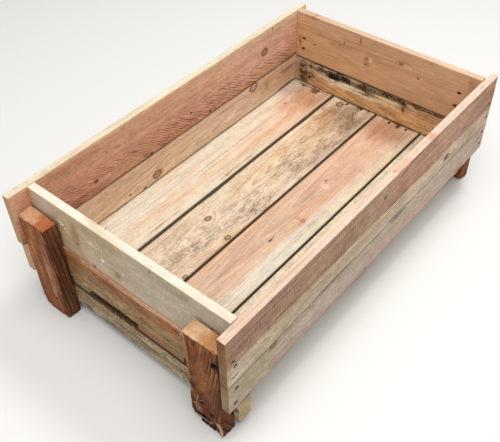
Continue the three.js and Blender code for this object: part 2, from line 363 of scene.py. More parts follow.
TIMBERS = {
    "front_side_upper_board": Wood(
        "side", slot="pink_board",
        near=[(0.0, "#d7c4ab"), (0.38, "#ddceb0"), (0.44, "#b59178"), (0.72, "#b08b73"), (1.0, "#b5927a")],
        far=[(0.0, "#e7d4bb"), (0.36, "#e8d7bb"), (0.42, "#c89a80"), (0.7, "#ca9c81"), (1.0, "#c99c80")],
        turn=0.0, edge="#eacdb7", end="#74481a", ring=6.0, pith=(150, -45), tilt=(0.01, 0.02),
        contrast=0.75, late="#a27a68", lines=0.6, variety=1.5, streaks=[("#c0a488", 0.35, 2.5, 30)],
        line="#a78a7c", flecks=0.5, grit=0.6, knots=[(301, -46, 9, 0.35), (2, 34, 4.5, 0.0)],
        ripple=(7.6, 0.12, 0.4), ripple_zone=(0.4, 1.0), ripple_span=(-700, -90),
        patches=[
            (-541, -10, 6, 60, "#6e5a2c", 0.6, 0.9), (-541, 40, 6, 34, "#a8744a", 0.5, 0.8),
            (-490, 20, 60, 60, "#a08068", 0.45, 0.3, 1), (-12, 56, 26, 16, "#c9b093", 0.5),
            (72, 56, 16, 5, "#8a5638", 0.6, 0.5), (84, 60, 10, 13, "#8a5a3a", 0.5, 0.7),
            (66, -67, 60, 3.5, MOULD, 1.0, 0.35), (-180, -69, 90, 3.5, MOULD, 1.0, 0.45),
            (301, -46, 8, 11, "#6a5238", 0.7, 0.2), (-510, -51, 18, 3.5, MOULD, 1.0, 0.2),
            (125, 68, 42, 4, "#5c482c", 0.85, 0.5, 1), (-380, -48, 110, 22, "#9d9468", 0.35, 0.5),
            (-60, -42, 160, 20, "#b5a578", 0.35, 0.3), (528, 8, 14, 60, "#a8653f", 0.6, 0.3),
            (-528, 10, 12, 70, "#9a6f48", 0.5, 0.4), (75, 74, 40, 10, "#e2a98c", 0.8, 0.3),
            (210, 74, 14, 8, "#d39a80", 0.7, 0.3), (180, 20, 60, 7, "#8f6c5c", 0.4, 0.4),
        ],
        chips=[(92, 1, 1, 26, 4.0), (168, 1, 1, 14, 3.2), (-300, 1, 1, 16, 1.6), (528, 1, 1, 18, 3)],
        cracks=[(-524, -47, 60, 1.2, 0.02)], grey=0.25),
    "front_side_lower_board": Wood(
        "side", slot="pale_board",
        near=[(0.0, "#bfa79a"), (0.3, "#c1ae9f"), (0.8, "#c3b19f"), (1.0, "#b9a791")],
        far=[(0.0, "#ceaf9d"), (0.25, "#cdb2a1"), (0.7, "#cdb8a5"), (1.0, "#c9b5a0")], variety=1.4,
        turn=0.05, end="#8a6030", ring=3.0, pith=(-130, 60), tilt=(-0.02, 0.01), contrast=0.22, lines=0.4,
        line="#ab9686", flecks=0.25, grit=0.55, knots=[(-394, 38, 9, 0.7), (-49, -38, 3, 0.0)],
        ripple=(7.6, 0.12, 0.15), ripple_span=(-700, 0),
        patches=[
            (85, 37, 38, 4, MOULD, 0.9, 0.45, 1), (392, -32, 12, 8, "#6a4a3c", 0.7, 0.6, 1),
            (-541, 12, 6, 30, "#a89a6a", 0.55, 0.8), (-541, -24, 6, 20, "#6c5030", 0.5, 0.8),
            (-470, 10, 110, 50, "#a59a72", 0.6, 0.15), (81, 35, 40, 6, MOULD, 0.6, 0.95),
            (52, 8, 18, 8, MOULD, 0.4, 0.95), (404, -31, 30, 11, "#9c7260", 0.6, 0.5),
            (505, 5, 40, 36, "#a5826a", 0.45, 0.6), (-394, 30, 26, 5, "#8a7c58", 0.5, 0.6),
            (150, -34, 240, 12, "#c99c8c", 0.4, 0.2), (-23, -14, 12, 8, "#9c7f6c", 0.4, 0.5),
        ],
        cracks=[(-380, 6, 190, 0.7, 0.01)], seam_grime_and_shade=(0.3, 0.35), grey=0.35),
    "back_side_upper_board": Wood(
        "side", slot="red_board",
        near=[(0.0, "#cf9976"), (0.3, "#daa688"), (0.7, "#d7a484"), (0.93, "#deab8a"), (1.0, "#f2d8b2")],
        far=[(0.0, "#e0b492"), (0.3, "#ebbfa5"), (0.7, "#ecc0a5"), (0.9, "#efcdac"), (1.0, "#f9e6c4")],
        turn=0.1, bend=0.03, edge="#e3d8bc", end="#c99a6c", ring=3.2, pith=(120, 70), tilt=(0.01, -0.02),
        contrast=0.3, lines=0.45, line="#b38468", flecks=0.5, grit=0.4, variety=1.4, mark="#8f5a3c",
        streaks=[("#dcae92", 0.4, 3, 26)],
        knots=[
            (338, 5, 11, 0.45), (-308, -37, 5, 0.1), (27, -29, 3, 0.0), (100, -64, 4, 0.0),
            (-125, -68, 4, 0.0),
        ],
        ripple=(11.0, 2.1, 1.6), ripple_zone=(-0.1, 0.38),
        patches=[
            (-290, 20, 42, 3.5, UMBER, 0.6, 0.7), (-228, 20, 11, 3.5, UMBER, 0.9, 0.3),
            (30, 20, 16, 4, "#7d4a34", 0.5, 0.4), (-400, -62, 150, 16, "#8a4a26", 0.55, 0.4),
            (338, 5, 20, 16, "#9a7458", 0.5, 0.4), (375, 64, 3, 7, UMBER, 0.9, 0.2, 1),
            (-90, 30, 240, 40, "#e6bea0", 0.35, 0.2, 1), (-180, 72, 60, 6, "#cbb68e", 0.5, 0.4),
            (440, -66, 60, 10, "#7c4a2a", 0.5, 0.5), (40, 20, 300, 2.0, "#a06848", 0.5, 0.5),
        ],
        seam_grime_and_shade=(0.7, 0.0), grey=0.08),
    "back_side_lower_board": Wood(
        "side", slot="tan_board",
        near=[(0.0, "#ebcead"), (0.5, "#e8ccac"), (1.0, "#eacaad")],
        far=[(0.0, "#e4ceb2"), (0.5, "#ead2b8"), (1.0, "#e7cdb4")], end="#c99a6c", ring=5.0,
        pith=(-20, -30), tilt=(0.05, 0.05), contrast=0.38, late="#b88a64", wander=9.0, variety=1.2,
        lines=0.45, line="#bd8f6f", flecks=0.15, grit=0.3,
        knots=[(-121, -26, 12, 0.95), (283, 32, 13, 0.5), (-219, -31, 3, 0.0), (-168, -43, 4, 0.1)],
        patches=[
            (400, 6, 160, 44, "#c09468", 0.45, 0.2, 1), (452, 14, 44, 9, "#8d5f38", 0.75, 0.2),
            # The row at (450, -44) is painted shade in the corner by the right end and the floor.
            (450, -44, 60, 9, "#4f3a20", 0.8, 0.3), (-105, -28, 12, 12, "#a4683c", 0.6, 0.1),
            (345, 8, 9, 18, "#a9835c", 0.6, 0.2), (415, 32, 2.5, 14, "#8a5a3c", 0.8, 0.1),
            (-292, 30, 3, 10, UMBER, 0.6, 0.4), (0, 44, 700, 4, "#9a5c38", 0.5, 0.4),
            (-425, 0, 40, 50, "#a87a50", 0.4, 0.3),
        ],
        seam_grime_and_shade=(0.5, 0.6), grey=0.05),
    "left_end_upper_board": Wood(
        "end", slot="cream_board",
        near=[(0.0, "#c5b49a"), (0.5, "#cbbca6"), (1.0, "#cdbfa4")],
        far=[(0.0, "#cbae8a"), (0.5, "#ceb189"), (1.0, "#d4bb99")], turn=0.06, edge="#efe5d4",
        end="#e5caa4", ring=3.0, pith=(-140, 60), contrast=0.12, lines=0.2, line="#c2ab8f", flecks=0.1,
        grit=0.45, variety=0.9, streaks=[("#c0a77a", 0.5, 8, 16), ("#dbccb8", 0.45, 11, 22)],
        knots=[(148, -20, 3.5, 0.0), (25, -36, 3.5, 0.1), (104, -60, 4, 0.1)],
        patches=[
            (-262, 10, 44, 60, "#cfc2b0", 0.6, 0.2, -1), (245, 30, 46, 44, "#d8d0c6", 0.7, 0.2, -1),
            (150, 4, 17, 48, "#a07f55", 0.65, 0.1, -1), (25, -36, 10, 12, "#8d7f62", 0.6, 0.2, -1),
            (6, -18, 5, 5, "#f4f1ec", 1.0, 0.0, -1), (68, -17, 5, 5, "#f4f1ec", 1.0, 0.0, -1),
            (86, 16, 30, 12, "#e6dcc8", 0.55, 0.9, -1), (-16, -34, 9, 8, "#e2d8c6", 0.6, 0.8, -1),
            (-178, 28, 34, 14, "#ded2ba", 0.5, 0.9, -1), (-85, 56, 4, 10, "#5f5138", 0.8, 0.3, -1),
            (-120, 50, 90, 18, "#a49a70", 0.5, 0.3, -1), (60, 45, 80, 22, "#a89468", 0.45, 0.3, -1),
            (215, -10, 22, 60, "#a58a62", 0.5, 0.4, -1), (45, 66, 90, 5, "#dcc8a4", 0.5, 0.8),
            (-200, 66, 60, 5, "#d9c6a6", 0.5, 0.7),
        ],
        ripple=(6.0, 0.3, 0.25), grey=0.5, chips=[(262, 1, -1, 8, 2), (200, -1, -1, 12, 2)],
        seam_grime_and_shade=(0.3, 0.0)),
    "left_end_lower_board": Wood(
        "end", slot="red_board",
        near=[
            (0.0, "#a68a61"), (0.5, "#aa885d"), (0.62, "#a27349"), (0.85, "#a57147"), (0.95, "#c08a66"),
            (1.0, "#d0a080"),
        ],
        edge="#d8a684", end="#b5855c", bend=0.1, ring=2.8, pith=(110, 55), tilt=(0.02, 0.02), contrast=0.4,
        lines=0.6, line="#8c6a4c", flecks=0.5, grit=0.9, rough=1.0, variety=2.0,
        patches=[
            (-20, 43, 90, 5, "#e0b898", 0.8, 0.4), (130, 42, 60, 6, "#cf9a68", 0.7, 0.4),
            (185, 10, 45, 60, "#8a5620", 0.6, 0.1), (18, 22, 16, 8, "#caa58c", 0.6, 0.8),
            (-160, 36, 60, 14, "#8a4c38", 0.6, 0.4), (40, 24, 60, 12, "#84492f", 0.5, 0.3),
            (60, -34, 80, 8, "#7d6038", 0.5, 0.6),
        ],
        hollows=[(-90, 30, -1, 30, 12, 0.8), (20, 20, -1, 30, 14, 0.8)],
        chips=[(-60, 1, -1, 60, 2.2), (120, 1, -1, 50, 2.6)], round=1.6, seam_grime_and_shade=(0.7, 0.0), grey=0.2),
    "right_end_upper_board": Wood(
        "end", slot="tan_board",
        near=[(0.0, "#dcb288"), (0.4, "#deb28b"), (0.7, "#e0b691"), (1.0, "#e0b68f")],
        far=[(0.0, "#d8af83"), (0.4, "#dab185"), (0.7, "#d8ae87"), (1.0, "#dcb594")], edge="#d5bca0",
        ring=6.5, pith=(5, 34), tilt=(0.03, 0.04), contrast=0.3, lines=0.25, line="#b98e6a", flecks=0.15,
        grit=0.2, wander=7.0, variety=0.9, streaks=[("#deb994", 0.4, 9, 20), ("#bd8c60", 0.25, 6, 22)],
        knots=[
            (-118, 9, 2.6, 0.0), (-61, 31, 3.5, 0.2), (44, 5, 3.5, 0.2), (49, -13, 2.6, 0.1),
            (124, 29, 2.5, 0.1), (138, 17, 2.5, 0.2), (279, -23, 4, 0.3),
        ],
        patches=[
            (-70, 34, 26, 8, RESIN, 0.75, 0.6), (-84, 30, 18, 6, "#f6d8b0", 0.8, 0.5),
            (44, 0, 12, 20, RESIN, 0.75, 0.6), (36, 6, 8, 10, "#f6d8b0", 0.8, 0.5),
            (71, 56, 4, 12, RESIN, 0.8, 0.3), (150, 40, 26, 10, "#f2d4ac", 0.6, 0.6),
            (170, 22, 60, 4, "#b07c4e", 0.5, 0.4), (-150, 42, 14, 8, "#e4c8a8", 0.5, 0.4),
            (190, 46, 40, 12, "#dcb994", 0.5, 0.6), (279, -20, 6, 26, "#a8683e", 0.6, 0.3),
            (232, 70, 8, 7, "#c08668", 0.7, 0.2), (226, -16, 4.5, 4.5, "#24140c", 1.0, 0.0, -1),
            (-270, 50, 14, 22, "#a4703e", 0.5, 0.3),
        ],
        holes=[(226, -16, -1, 2.4, 8)], seam_grime_and_shade=(0.6, 0.0), grey=0.08),
    "right_end_lower_board": Wood(
        "end", slot="stained_board",
        near=[(0.0, "#deb27b"), (0.45, "#e1b884"), (0.6, "#d0a67a"), (1.0, "#caa680")], ring=6.0,
        pith=(-15, 32), tilt=(0.06, 0.05), contrast=0.4, late="#b88450", lines=0.4, line="#bb8c58",
        flecks=0.2, grit=0.6, wander=7.0, variety=1.4, knots=[(-50, -21, 2.6, 0.0), (-190, -10, 4, 0.5)],
        patches=[
            (140, 18, 170, 32, "#fff2d6", 0.95, 0.2, -1), (20, 14, 100, 22, "#fbe6c0", 0.85, 0.35, -1),
            (-80, 32, 110, 11, "#f0dcb8", 0.8, 0.45, -1), (-180, 34, 90, 9, "#e6cba0", 0.6, 0.5, -1),
            (120, 28, 190, 26, "#5f3c20", 0.95, 0.72, -1), (-120, 36, 120, 10, "#6a482a", 0.85, 0.7, -1),
            (235, 4, 70, 40, "#6c4c2e", 0.8, 0.7, -1), (258, -12, 34, 34, "#4c3620", 0.9, 0.65, -1),
            (262, 22, 20, 16, "#2e1e12", 0.95, 0.4, -1), (262, -16, 18, 14, "#38281a", 0.9, 0.4, -1),
            (160, 16, 28, 18, "#2c140c", 1.0, 0.0, -1), (128, 26, 28, 15, "#24140a", 1.0, 0.25, -1),
            (196, 26, 22, 12, "#4a2a16", 0.95, 0.3, -1), (100, 22, 24, 12, "#3a1d0e", 1.0, 0.3, -1),
            (66, 20, 28, 15, "#2e1c0e", 0.95, 0.35, -1), (30, 24, 42, 17, "#4c3416", 1.0, 0.35, -1),
            (56, 6, 46, 4, UMBER, 1.0, 0.3, -1), (10, 12, 40, 4, "#6a4a24", 0.9, 0.4, -1),
            (-78, 27, 34, 17, "#2c1a0c", 1.0, 0.3, -1), (-30, 30, 42, 13, "#3a2614", 0.95, 0.45, -1),
            (-130, 34, 26, 10, "#4a3018", 0.9, 0.45, -1), (-88, 12, 8, 14, "#3c2c24", 0.95, 0.2, -1),
            (160, 42, 110, 4, "#140a05", 1.0, 0.2, -1), (20, 43, 60, 4, "#140a05", 1.0, 0.3, -1),
            (-160, 38, 90, 8, "#5c3a1e", 0.8, 0.6, -1), (84, 10, 50, 6, "#fff2d6", 0.95, 0.3, -1),
            (-40, 18, 60, 7, "#f6e0b4", 0.85, 0.3, -1), (150, 4, 60, 5, "#fbe8c4", 0.8, 0.4, -1),
        ],
        hollows=[
            (160, 20, -1, 26, 13, 4), (105, 26, -1, 32, 12, 3), (30, 30, -1, 40, 12, 3),
            (-80, 34, -1, 34, 10, 3), (240, -8, -1, 26, 14, 1.2),
        ],
        chips=[(160, 1, -1, 44, 6), (35, 1, -1, 36, 5), (-80, 1, -1, 30, 4), (100, 1, -1, 30, 4)],
        seam_grime_and_shade=(0.7, 0.6)),
    "floor_board_1": Wood(
        "flat", slot="cream_board",
        near=[(0.0, "#d7ceba"), (0.3, "#ddcdb4"), (0.55, "#ddd5c3"), (1.0, "#d7cfba")],
        far=[(0.0, "#dac7ad"), (0.3, "#ddbc9e"), (0.6, "#ddcab1"), (1.0, "#d8cdba")], turn=0.1, ring=6.0,
        pith=(130, -40), tilt=(0.015, 0.02), contrast=0.22, lines=0.3, line="#c9a888", flecks=0.4,
        grit=0.45, variety=0.9, streaks=[("#dba67c", 0.45, 2.6, 32), ("#e6d8c0", 0.6, 3.2, 42)],
        knots=[(358, 12, 4, 0.1), (-342, 40, 2.5, 0.1)],
        patches=[
            # The row at (400, -14) is a painted shadow cast by the right end.
            (400, -14, 100, 50, "#c68c66", 0.7, 0.15), (-235, -60, 70, 5, "#a87438", 0.9, 0.6),
            (30, -64, 80, 5, "#a87438", 0.9, 0.6), (150, 2, 230, 2.2, "#a88a6c", 0.6, 0.5),
            (60, -12, 160, 2.5, "#c08a5c", 0.6, 0.5), (-180, 12, 130, 3, "#b3a28c", 0.5, 0.6),
            (300, -28, 30, 5, "#b08058", 0.5, 0.7), (462, -24, 9, 12, UMBER, 0.9, 0.3),
            # The rows at (0, 66) and (473, 0) are painted shade: along the foot of the back side and under
            # the right end.
            (0, 66, 620, 3.5, "#6a4e34", 0.6, 0.2), (473, 0, 5, 80, FLOOR_END_SHADE, 0.8, 0.2),
            (-260, -10, 110, 16, "#cfa27c", 0.35, 0.5),
        ],
        hollows=[(466, -24, 1, 12, 9, 2.5)], end="#9a7c54", seam_grime_and_shade=(0.3, 0.3), narrow_shade=0.7, grey=0.15),
    "floor_board_2": Wood(
        "flat", slot="stained_board",
        near=[(0.0, "#dfc9b1"), (0.5, "#e1d0b8"), (1.0, "#e3d0b3")],
        far=[(0.0, "#e7d3bd"), (0.4, "#efd3b0"), (1.0, "#f7e1c4")], turn=0.05, ring=5.0, pith=(15, -28),
        tilt=(0.03, 0.05), contrast=0.5, wander=9.0, lines=0.4, late="#b8946e", line="#b08e70", flecks=0.5,
        grit=0.8, variety=1.1, streaks=[("#e2ccab", 0.5, 4, 30), ("#c29a72", 0.4, 4, 24)],
        knots=[(-159, 19, 7.5, 0.3), (-178, -63, 7, 0.3), (-336, -68, 6, 0.2), (450, 37, 10, 0.3)],
        patches=[
            (-60, -36, 100, 44, "#6c5642", 0.6, 0.95), (-300, 0, 130, 50, "#8a7460", 0.5, 0.95),
            (-230, -25, 90, 26, "#6f5c48", 0.5, 0.95), (390, 5, 105, 60, "#7a5428", 0.6, 0.35),
            (300, -48, 200, 30, "#6a5442", 0.7, 0.6), (410, -20, 70, 40, "#4c3824", 0.6, 0.7),
            # The row at (-25, -50) is mould with a painted shadow of a pumpkin, not modelled, that stood
            # there; the row at (473, 0) is painted shade under the right end.
            (-25, -50, 50, 26, "#4c3826", 0.5, 0.85), (340, 40, 110, 26, "#b07a46", 0.6, 0.4),
            (473, 0, 5, 80, FLOOR_END_SHADE, 0.85, 0.2), (60, 30, 160, 30, "#d6a878", 0.35, 0.4),
            (-190, 4, 12, 7, "#3c2c20", 0.9, 0.5), (150, -20, 110, 44, "#7a634c", 0.6, 0.85),
        ],
        chips=[(-62, 1, 1, 70, 4.5), (330, 1, 1, 40, 3.0), (120, -1, 1, 60, 2.5)], end="#a8845c",
        seam_grime_and_shade=(0.35, 0.35), narrow_shade=0.75, grey=0.3),
    "floor_board_3": Wood(
        "flat", slot="pink_board",
        near=[(0.0, "#ded8c2"), (0.23, "#e1dbcb"), (0.34, "#d8bea2"), (0.6, "#d1b39a"), (1.0, "#d4b398")],
        far=[(0.0, "#d3bd9c"), (0.16, "#d4bb9c"), (0.28, "#dbbda1"), (0.6, "#d8b193"), (1.0, "#debca1")],
        turn=0.12, ring=5.5, pith=(25, -32), tilt=(0.02, 0.03), contrast=0.35, late="#cc9d84", lines=0.4,
        line="#c09078", flecks=0.25, grit=0.4, variety=0.9, streaks=[("#dcb898", 0.6, 3.5, 26)],
        knots=[(-9, -22, 4.5, 0.6), (-115, 0, 3, 0.0), (150, 20, 3, 0.2)],
        patches=[
            (-14, -25, 22, 8, "#b5704e", 0.65, 0.6), (-111, 0, 14, 3, MOULD, 0.8, 0.4),
            (-9, -8, 8, 14, "#c47c58", 0.6, 0.3), (130, 8, 12, 16, "#ecd0b0", 0.6, 0.3),
            (200, -58, 360, 12, "#dcd0b2", 0.5, 0.2), (75, 18, 30, 7, "#9a8274", 0.5, 0.6),
            # The rows at (430, 12) and (480, 0) are painted shade: a shadow cast by the right end, and the
            # shade under it.
            (-20, -46, 80, 9, "#8f846c", 0.4, 0.9), (430, 12, 75, 64, "#b67a50", 0.6, 0.35),
            (345, -30, 8, 12, "#e2cdb0", 0.6, 0.4), (480, 0, 5, 80, FLOOR_END_SHADE, 0.85, 0.2),
            (470, -6, 9, 8, UMBER, 0.9, 0.3), (140, -20, 140, 20, "#c58a6c", 0.35, 0.4),
            (-330, -30, 120, 7, "#c49a80", 0.4, 0.4),
        ],
        hollows=[(470, -6, 1, 10, 8, 2.5)], end="#a0623c", torn=2.5, seam_grime_and_shade=(0.3, 0.35), narrow_shade=0.75,
        grey=0.15),
    "floor_board_4": Wood(
        "flat", slot="pale_board",
        near=[(0.0, "#d2c0a4"), (1.0, "#dccfb4")], ring=4.5, pith=(-125, -50), tilt=(0.015, 0.02),
        # The row at (479, 0) is painted shade where the board runs under the right end.
        contrast=0.25, lines=0.4, end="#a86c40", torn=2.5, patches=[(479, 0, 5, 80, FLOOR_END_SHADE, 0.8, 0.2)],
        seam_grime_and_shade=(0.3, 0.2), narrow_shade=0.9, narrow_shade_colour="#2a1c10", knots=[(-180, -30, 8, 0.5), (240, 10, 6, 0.2)]),
    "left_bearer": Wood(
        "end", slot="bearer",
        near=[(0.0, "#d6be9d"), (0.5, "#cdb492"), (1.0, "#cdb28d")], edge="#b08a5c", ring=5.5,
        pith=(70, -40), tilt=(0.03, 0.02), contrast=1.0, late="#7c6a4c", lines=1.0, line="#6c5a3e",
        flecks=0.9, grit=1.0, variety=2.4, streaks=[("#c2b496", 0.6, 5, 60), ("#7d6a4a", 0.5, 4, 50)],
        rough=1.0, round=2.0, torn=1.0, grey=0.5, end="#c2a67c",
        patches=[
            (60, -22, 110, 8, "#574832", 0.6, 0.6), (-60, 6, 90, 4, "#5f5038", 0.5, 0.6),
            (120, 14, 60, 4, "#4f4028", 0.5, 0.5), (165, -22, 24, 10, "#2c1d10", 0.8, 0.4),
        ],
        seam_grime_and_shade=(0.2, 0.6), narrow_shade=0.85, narrow_shade_colour="#4a3826",
        chips=[(140, -1, -1, 150, 7), (170, -1, 1, 110, 7), (-40, -1, -1, 50, 3)]),
    "middle_bearer": Wood(
        "end", slot="bearer",
        near=[(0.0, "#b29a78"), (1.0, "#b9a080")], ring=3.0, pith=(-70, 40), contrast=0.4, lines=0.8,
        line="#96805f", rough=0.8, round=2.0, grey=0.3, end="#b89a70", knots=[(90, 8, 7, 0.4)], grit=0.8),
    "right_bearer": Wood(
        "end", slot="bearer",
        near=[(0.0, "#a98e6e"), (1.0, "#b39775")], ring=3.0, pith=(75, -38), contrast=0.4, lines=0.8,
        line="#8f7856", rough=0.9, round=2.0, grey=0.4, end="#b3946c", knots=[(-140, -6, 8, 0.4)],
        grit=0.8),
    "back_left_leg": Wood(
        "post", slot="leg",
        near=[(0.0, "#5e2c0e"), (0.1, "#763915"), (0.2, "#89421a"), (0.5, "#8d441c"), (1.0, "#893e18")],
        far=[(0.0, "#7a471f"), (0.1, "#975c2b"), (0.2, "#b8713d"), (0.5, "#bd763f"), (1.0, "#b56d36")],
        turn=0.0, bend=0.02, ring=6.0, pith=(-110, -40), tilt=(0.03, 0.02), contrast=1.0, late="#7a4420",
        lines=1.0, line="#7a4c30", flecks=0.9, grit=1.0, rough=2.4, variety=1.6,
        streaks=[("#cc8c54", 0.55, 6, 60), ("#7a4628", 0.45, 7, 50)], round=2.6, torn=2.6, grey=0.05,
        end="#bc6d42", end_rings=0.1, seam_grime_and_shade=(0.0, 0.0), narrow_shade=0.4, narrow_shade_colour="#4a2c14", mesh_step=(2.6, 2.4),
        patches=[
            (-60, 8, 50, 12, "#7a4320", 0.5, 0.3), (-130, 10, 30, 30, "#8a5a20", 0.45, 0.3),
            (120, 30, 40, 14, "#8c5030", 0.45, 0.4), (154, 24, 8, 34, "#dfbd92", 0.85, 0.35),
            (155, -38, 9, 16, "#b8603a", 0.6, 0.7), (-30, -16, 90, 9, "#c09a80", 0.5, 0.6),
            (50, -22, 110, 12, "#b08058", 0.55, 0.6), (-30, 22, 110, 9, "#a46a40", 0.5, 0.6),
            (-125, 0, 36, 40, "#9c5a2c", 0.5, 0.4), (60, 4, 70, 7, "#5c3018", 0.5, 0.5),
            (-150, -20, 10, 40, "#6a3c1c", 0.6, 0.4),
        ],
        chips=[(-150, 1, 1, 26, 9), (-152, -1, 1, 18, 6), (150, 1, 1, 10, 4), (152, -1, -1, 16, 4)]),
    "front_left_leg": Wood(
        "post", slot="leg",
        near=[(0.0, "#72360f"), (0.3, "#89461a"), (0.6, "#8e4a1a"), (1.0, "#a05925")],
        far=[(0.0, "#793c14"), (0.3, "#87451a"), (0.6, "#8c491b"), (1.0, "#a05a28")], ring=8.5,
        pith=(32, -10), tilt=(-0.13, 0.17), contrast=1.1, late="#5c3418", wander=5.0, lines=0.9,
        line="#7a4c26", flecks=0.6, grit=0.9, rough=2.2, variety=1.2,
        streaks=[("#c58a4c", 0.5, 5, 36), ("#6a3a18", 0.4, 6, 40)], round=2.8, torn=3.0, grey=0.03,
        end="#cb976b", end_rings=0.1, seam_grime_and_shade=(0.0, 0.0), mesh_step=(2.6, 2.4),
        patches=[
            (-75, 2, 66, 52, "#6a3820", 0.7, 0.35), (-60, 20, 40, 20, "#4a2412", 0.6, 0.7),
            (-100, -10, 26, 26, "#4f2a16", 0.6, 0.6), (-92, 26, 44, 10, "#c59a74", 0.6, 0.85),
            # The near-black rows at (-148, 14), (-34, 40) and (103, -38) are painted shade inside the deep
            # hollows there.
            (-148, 14, 30, 40, "#140c07", 1.0, 0.15), (-34, 40, 9, 9, "#120a06", 1.0, 0.1),
            (103, -38, 17, 17, "#060403", 1.0, 0.0), (60, 42, 110, 6, "#c8965e", 0.75, 0.4),
            (40, 4, 70, 14, "#a87440", 0.5, 0.2), (10, -6, 80, 30, "#9c6230", 0.4, 0.3),
            (-20, -34, 60, 12, "#54301a", 0.5, 0.4), (154, 22, 7, 30, "#e2bf98", 0.8, 0.2),
            (154, -16, 6, 12, "#a8703e", 0.6, 0.3), (132, 43, 26, 4, "#d9b080", 0.8, 0.5),
        ],
        hollows=[
            (-72, 4, 1, 52, 42, 4.5), (-148, 12, 1, 34, 38, 9.0), (103, -38, 1, 10, 11, 10.0),
            (-34, 42, 1, 10, 10, 7.0), (40, 46, 1, 70, 6, 2.5),
        ],
        chips=[(-152, 1, 1, 34, 9), (-152, -1, 1, 14, 5), (148, -1, 1, 12, 5), (-40, 1, 1, 20, 7)],
        cracks=[(-152, -22, 70, 2.2, 0.12)]),
    "back_right_leg": Wood(
        "post", slot="leg",
        near=[(0.0, "#8f5a38"), (1.0, "#9b643f")], ring=4.0, pith=(90, 40), tilt=(0.03, 0.02), contrast=0.5,
        late="#8f5f40", lines=0.8, line="#84522e", rough=0.9, round=2.4, torn=1.8, grey=0.1, end="#c08a5c",
        end_rings=0.2, knots=[(40, 10, 8, 0.3)], seam_grime_and_shade=(0.0, 0.0), grit=0.8, mesh_step=(3.5, 3.0)),
    "front_right_leg": Wood(
        "post", slot="leg",
        near=[(0.0, "#8a5331"), (1.0, "#955c38")], ring=4.0, pith=(-90, 40), tilt=(0.03, 0.02),
        contrast=0.5, late="#8f5f40", lines=0.8, line="#84522e", rough=0.9, round=2.4, torn=2.4, grey=0.1,
        end="#c08a5c", end_rings=0.2, seam_grime_and_shade=(0.0, 0.0), grit=0.8, mesh_step=(3.5, 3.0),
        chips=[(-152, -1, 1, 30, 10)]),
}


# ---------------------------------------------------------------- the wood's look

WEATHERED = "#b9ad98"
LIGHT_HEART = "#d2a894"                 # what a light knot's heart multiplies by
DARK_HEART = "#5d4434"
HEART_CHECK = "#8d6450"                 # what the fine rings in a heart multiply by
BARK_LINE = "#5e3a22"                   # round a knot
TORN_FLECK = "#6d5040"                  # what a short dark dash multiplies by
# grime and painted shade where boards meet
GRIME_AND_SHADE = "#3d2818"
SCREW_STAIN = "#1f140d"

SEED_SHIFT = (3.7, 1.3, 2.1)            # from one timber's noise to the next one's, metres

# Noise through the wood: cells per metre along, across and through it, detail and roughness.
GRAIN_NOISES = {                        # these follow the grain's bends
    "fine": ((22, 640, 640), 3.0, 0.6),
    "bands": ((2.6, 60, 60), 3.0, 0.6),
    "strands": ((3.5, 95, 95), 5.0, 0.72),
    "dashes": ((34, 330, 330), 1.0, 0.5),
}
LOOSE_NOISES = {
    "crowd": ((7, 20, 20), 2.0, 0.5),
    "mottle": ((26, 48, 48), 4.0, 0.62),
    "torn": ((110, 250, 250), 3.0, 0.65),
    "patchy": ((5, 14, 14), 3.0, 0.55),
}

# Swings: cells per metre along, across and through the wood, and how far they go.
WANDER = ((2.4, 11, 11), 1.0)           # shares of a timber's own wander
WANDER_FINE = ((9, 45, 45), 0.25)
BAND_BEND = (1.8, 3, 3)                 # cells only: each timber says how far
BAND_RAGGED = ((14, 90, 90), 0.035)     # share of the width
KNOT_RAGGED = ((90, 140, 60), 0.2)      # radii
PATCH_RAGGED = ((18, 46, 46), 0.75)     # shares of the patch
RING_WAVE = ((2.0, 12, 12), 0.5)        # rings
SAW_DRIFT = ((9, 9, 9), 0.004)          # metres
GRIME_AND_SHADE_RAGGED = ((20, 60, 60), 2.2 * MM)

KNOT_REACH = (0.28, 0.5)                # 1 / the radii over which it bends the grain, along and across
KNOT_SWELL = 1.1                        # how far it pushes the rings out, in radii
KNOT_BEND = 1.9                         # how hard it pushes the grain aside
KNOT_OVAL = 0.82                        # its width over its length
KNOT_RINGS = 19.0                       # fine rings in its heart, radians per radius

RING_UNEVEN = (0.31, 1.6)               # cells per ring, and how far a ring is out of its place
TURN_REACH = 0.22                       # metres on each side, where one end's colours give way
GRIME_AND_SHADE_FROM, GRIME_AND_SHADE_TO = 4.5 * MM, 0.8 * MM       # none and all of it, from the corner
STAIN_RADIUS = 5 * MM
STAIN_OVAL = 0.7                        # its width over its length


@dataclass
class Knots:
    """What a timber's knots do to its grain, and masks of their parts, 0 to 1."""
    push: object = 0.0                  # how far they push the grain aside
    swell: object = 0.0                 # how far they push the rings out
    light: object = 0.0                 # light hearts
    dark: object = 0.0                  # dark hearts
    rim: object = 0.0
    rings: object = 0.0                 # waves inside the hearts


@dataclass
class Grain:
    """The sockets that the rest of a wood material is drawn on."""
    place: object                       # the point in the timber's own axes
    loose: object                       # the same point, moved so that timbers differ
    along: object
    side: object
    depth: object
    facing: object                      # x, y and z of the normal
    knots: Knots = None
    straight: object = None             # side, with the grain's bends taken out
    fibre: object = None                # the point, with the grain's bends taken out
    late: object = None                 # the dark part of each ring, 0 to 1
    wavy: object = None                 # place across the width, 0 to 1, with a ragged edge
    top: object = 0.0                   # 1 on an upper narrow face that has its own colour
    ends: object = None                 # 1 on the end grain
    fleck: object = None                # short dark dashes
    marks: object = 0.0                 # saw marks, about 0
    noise: dict = field(default_factory=dict)


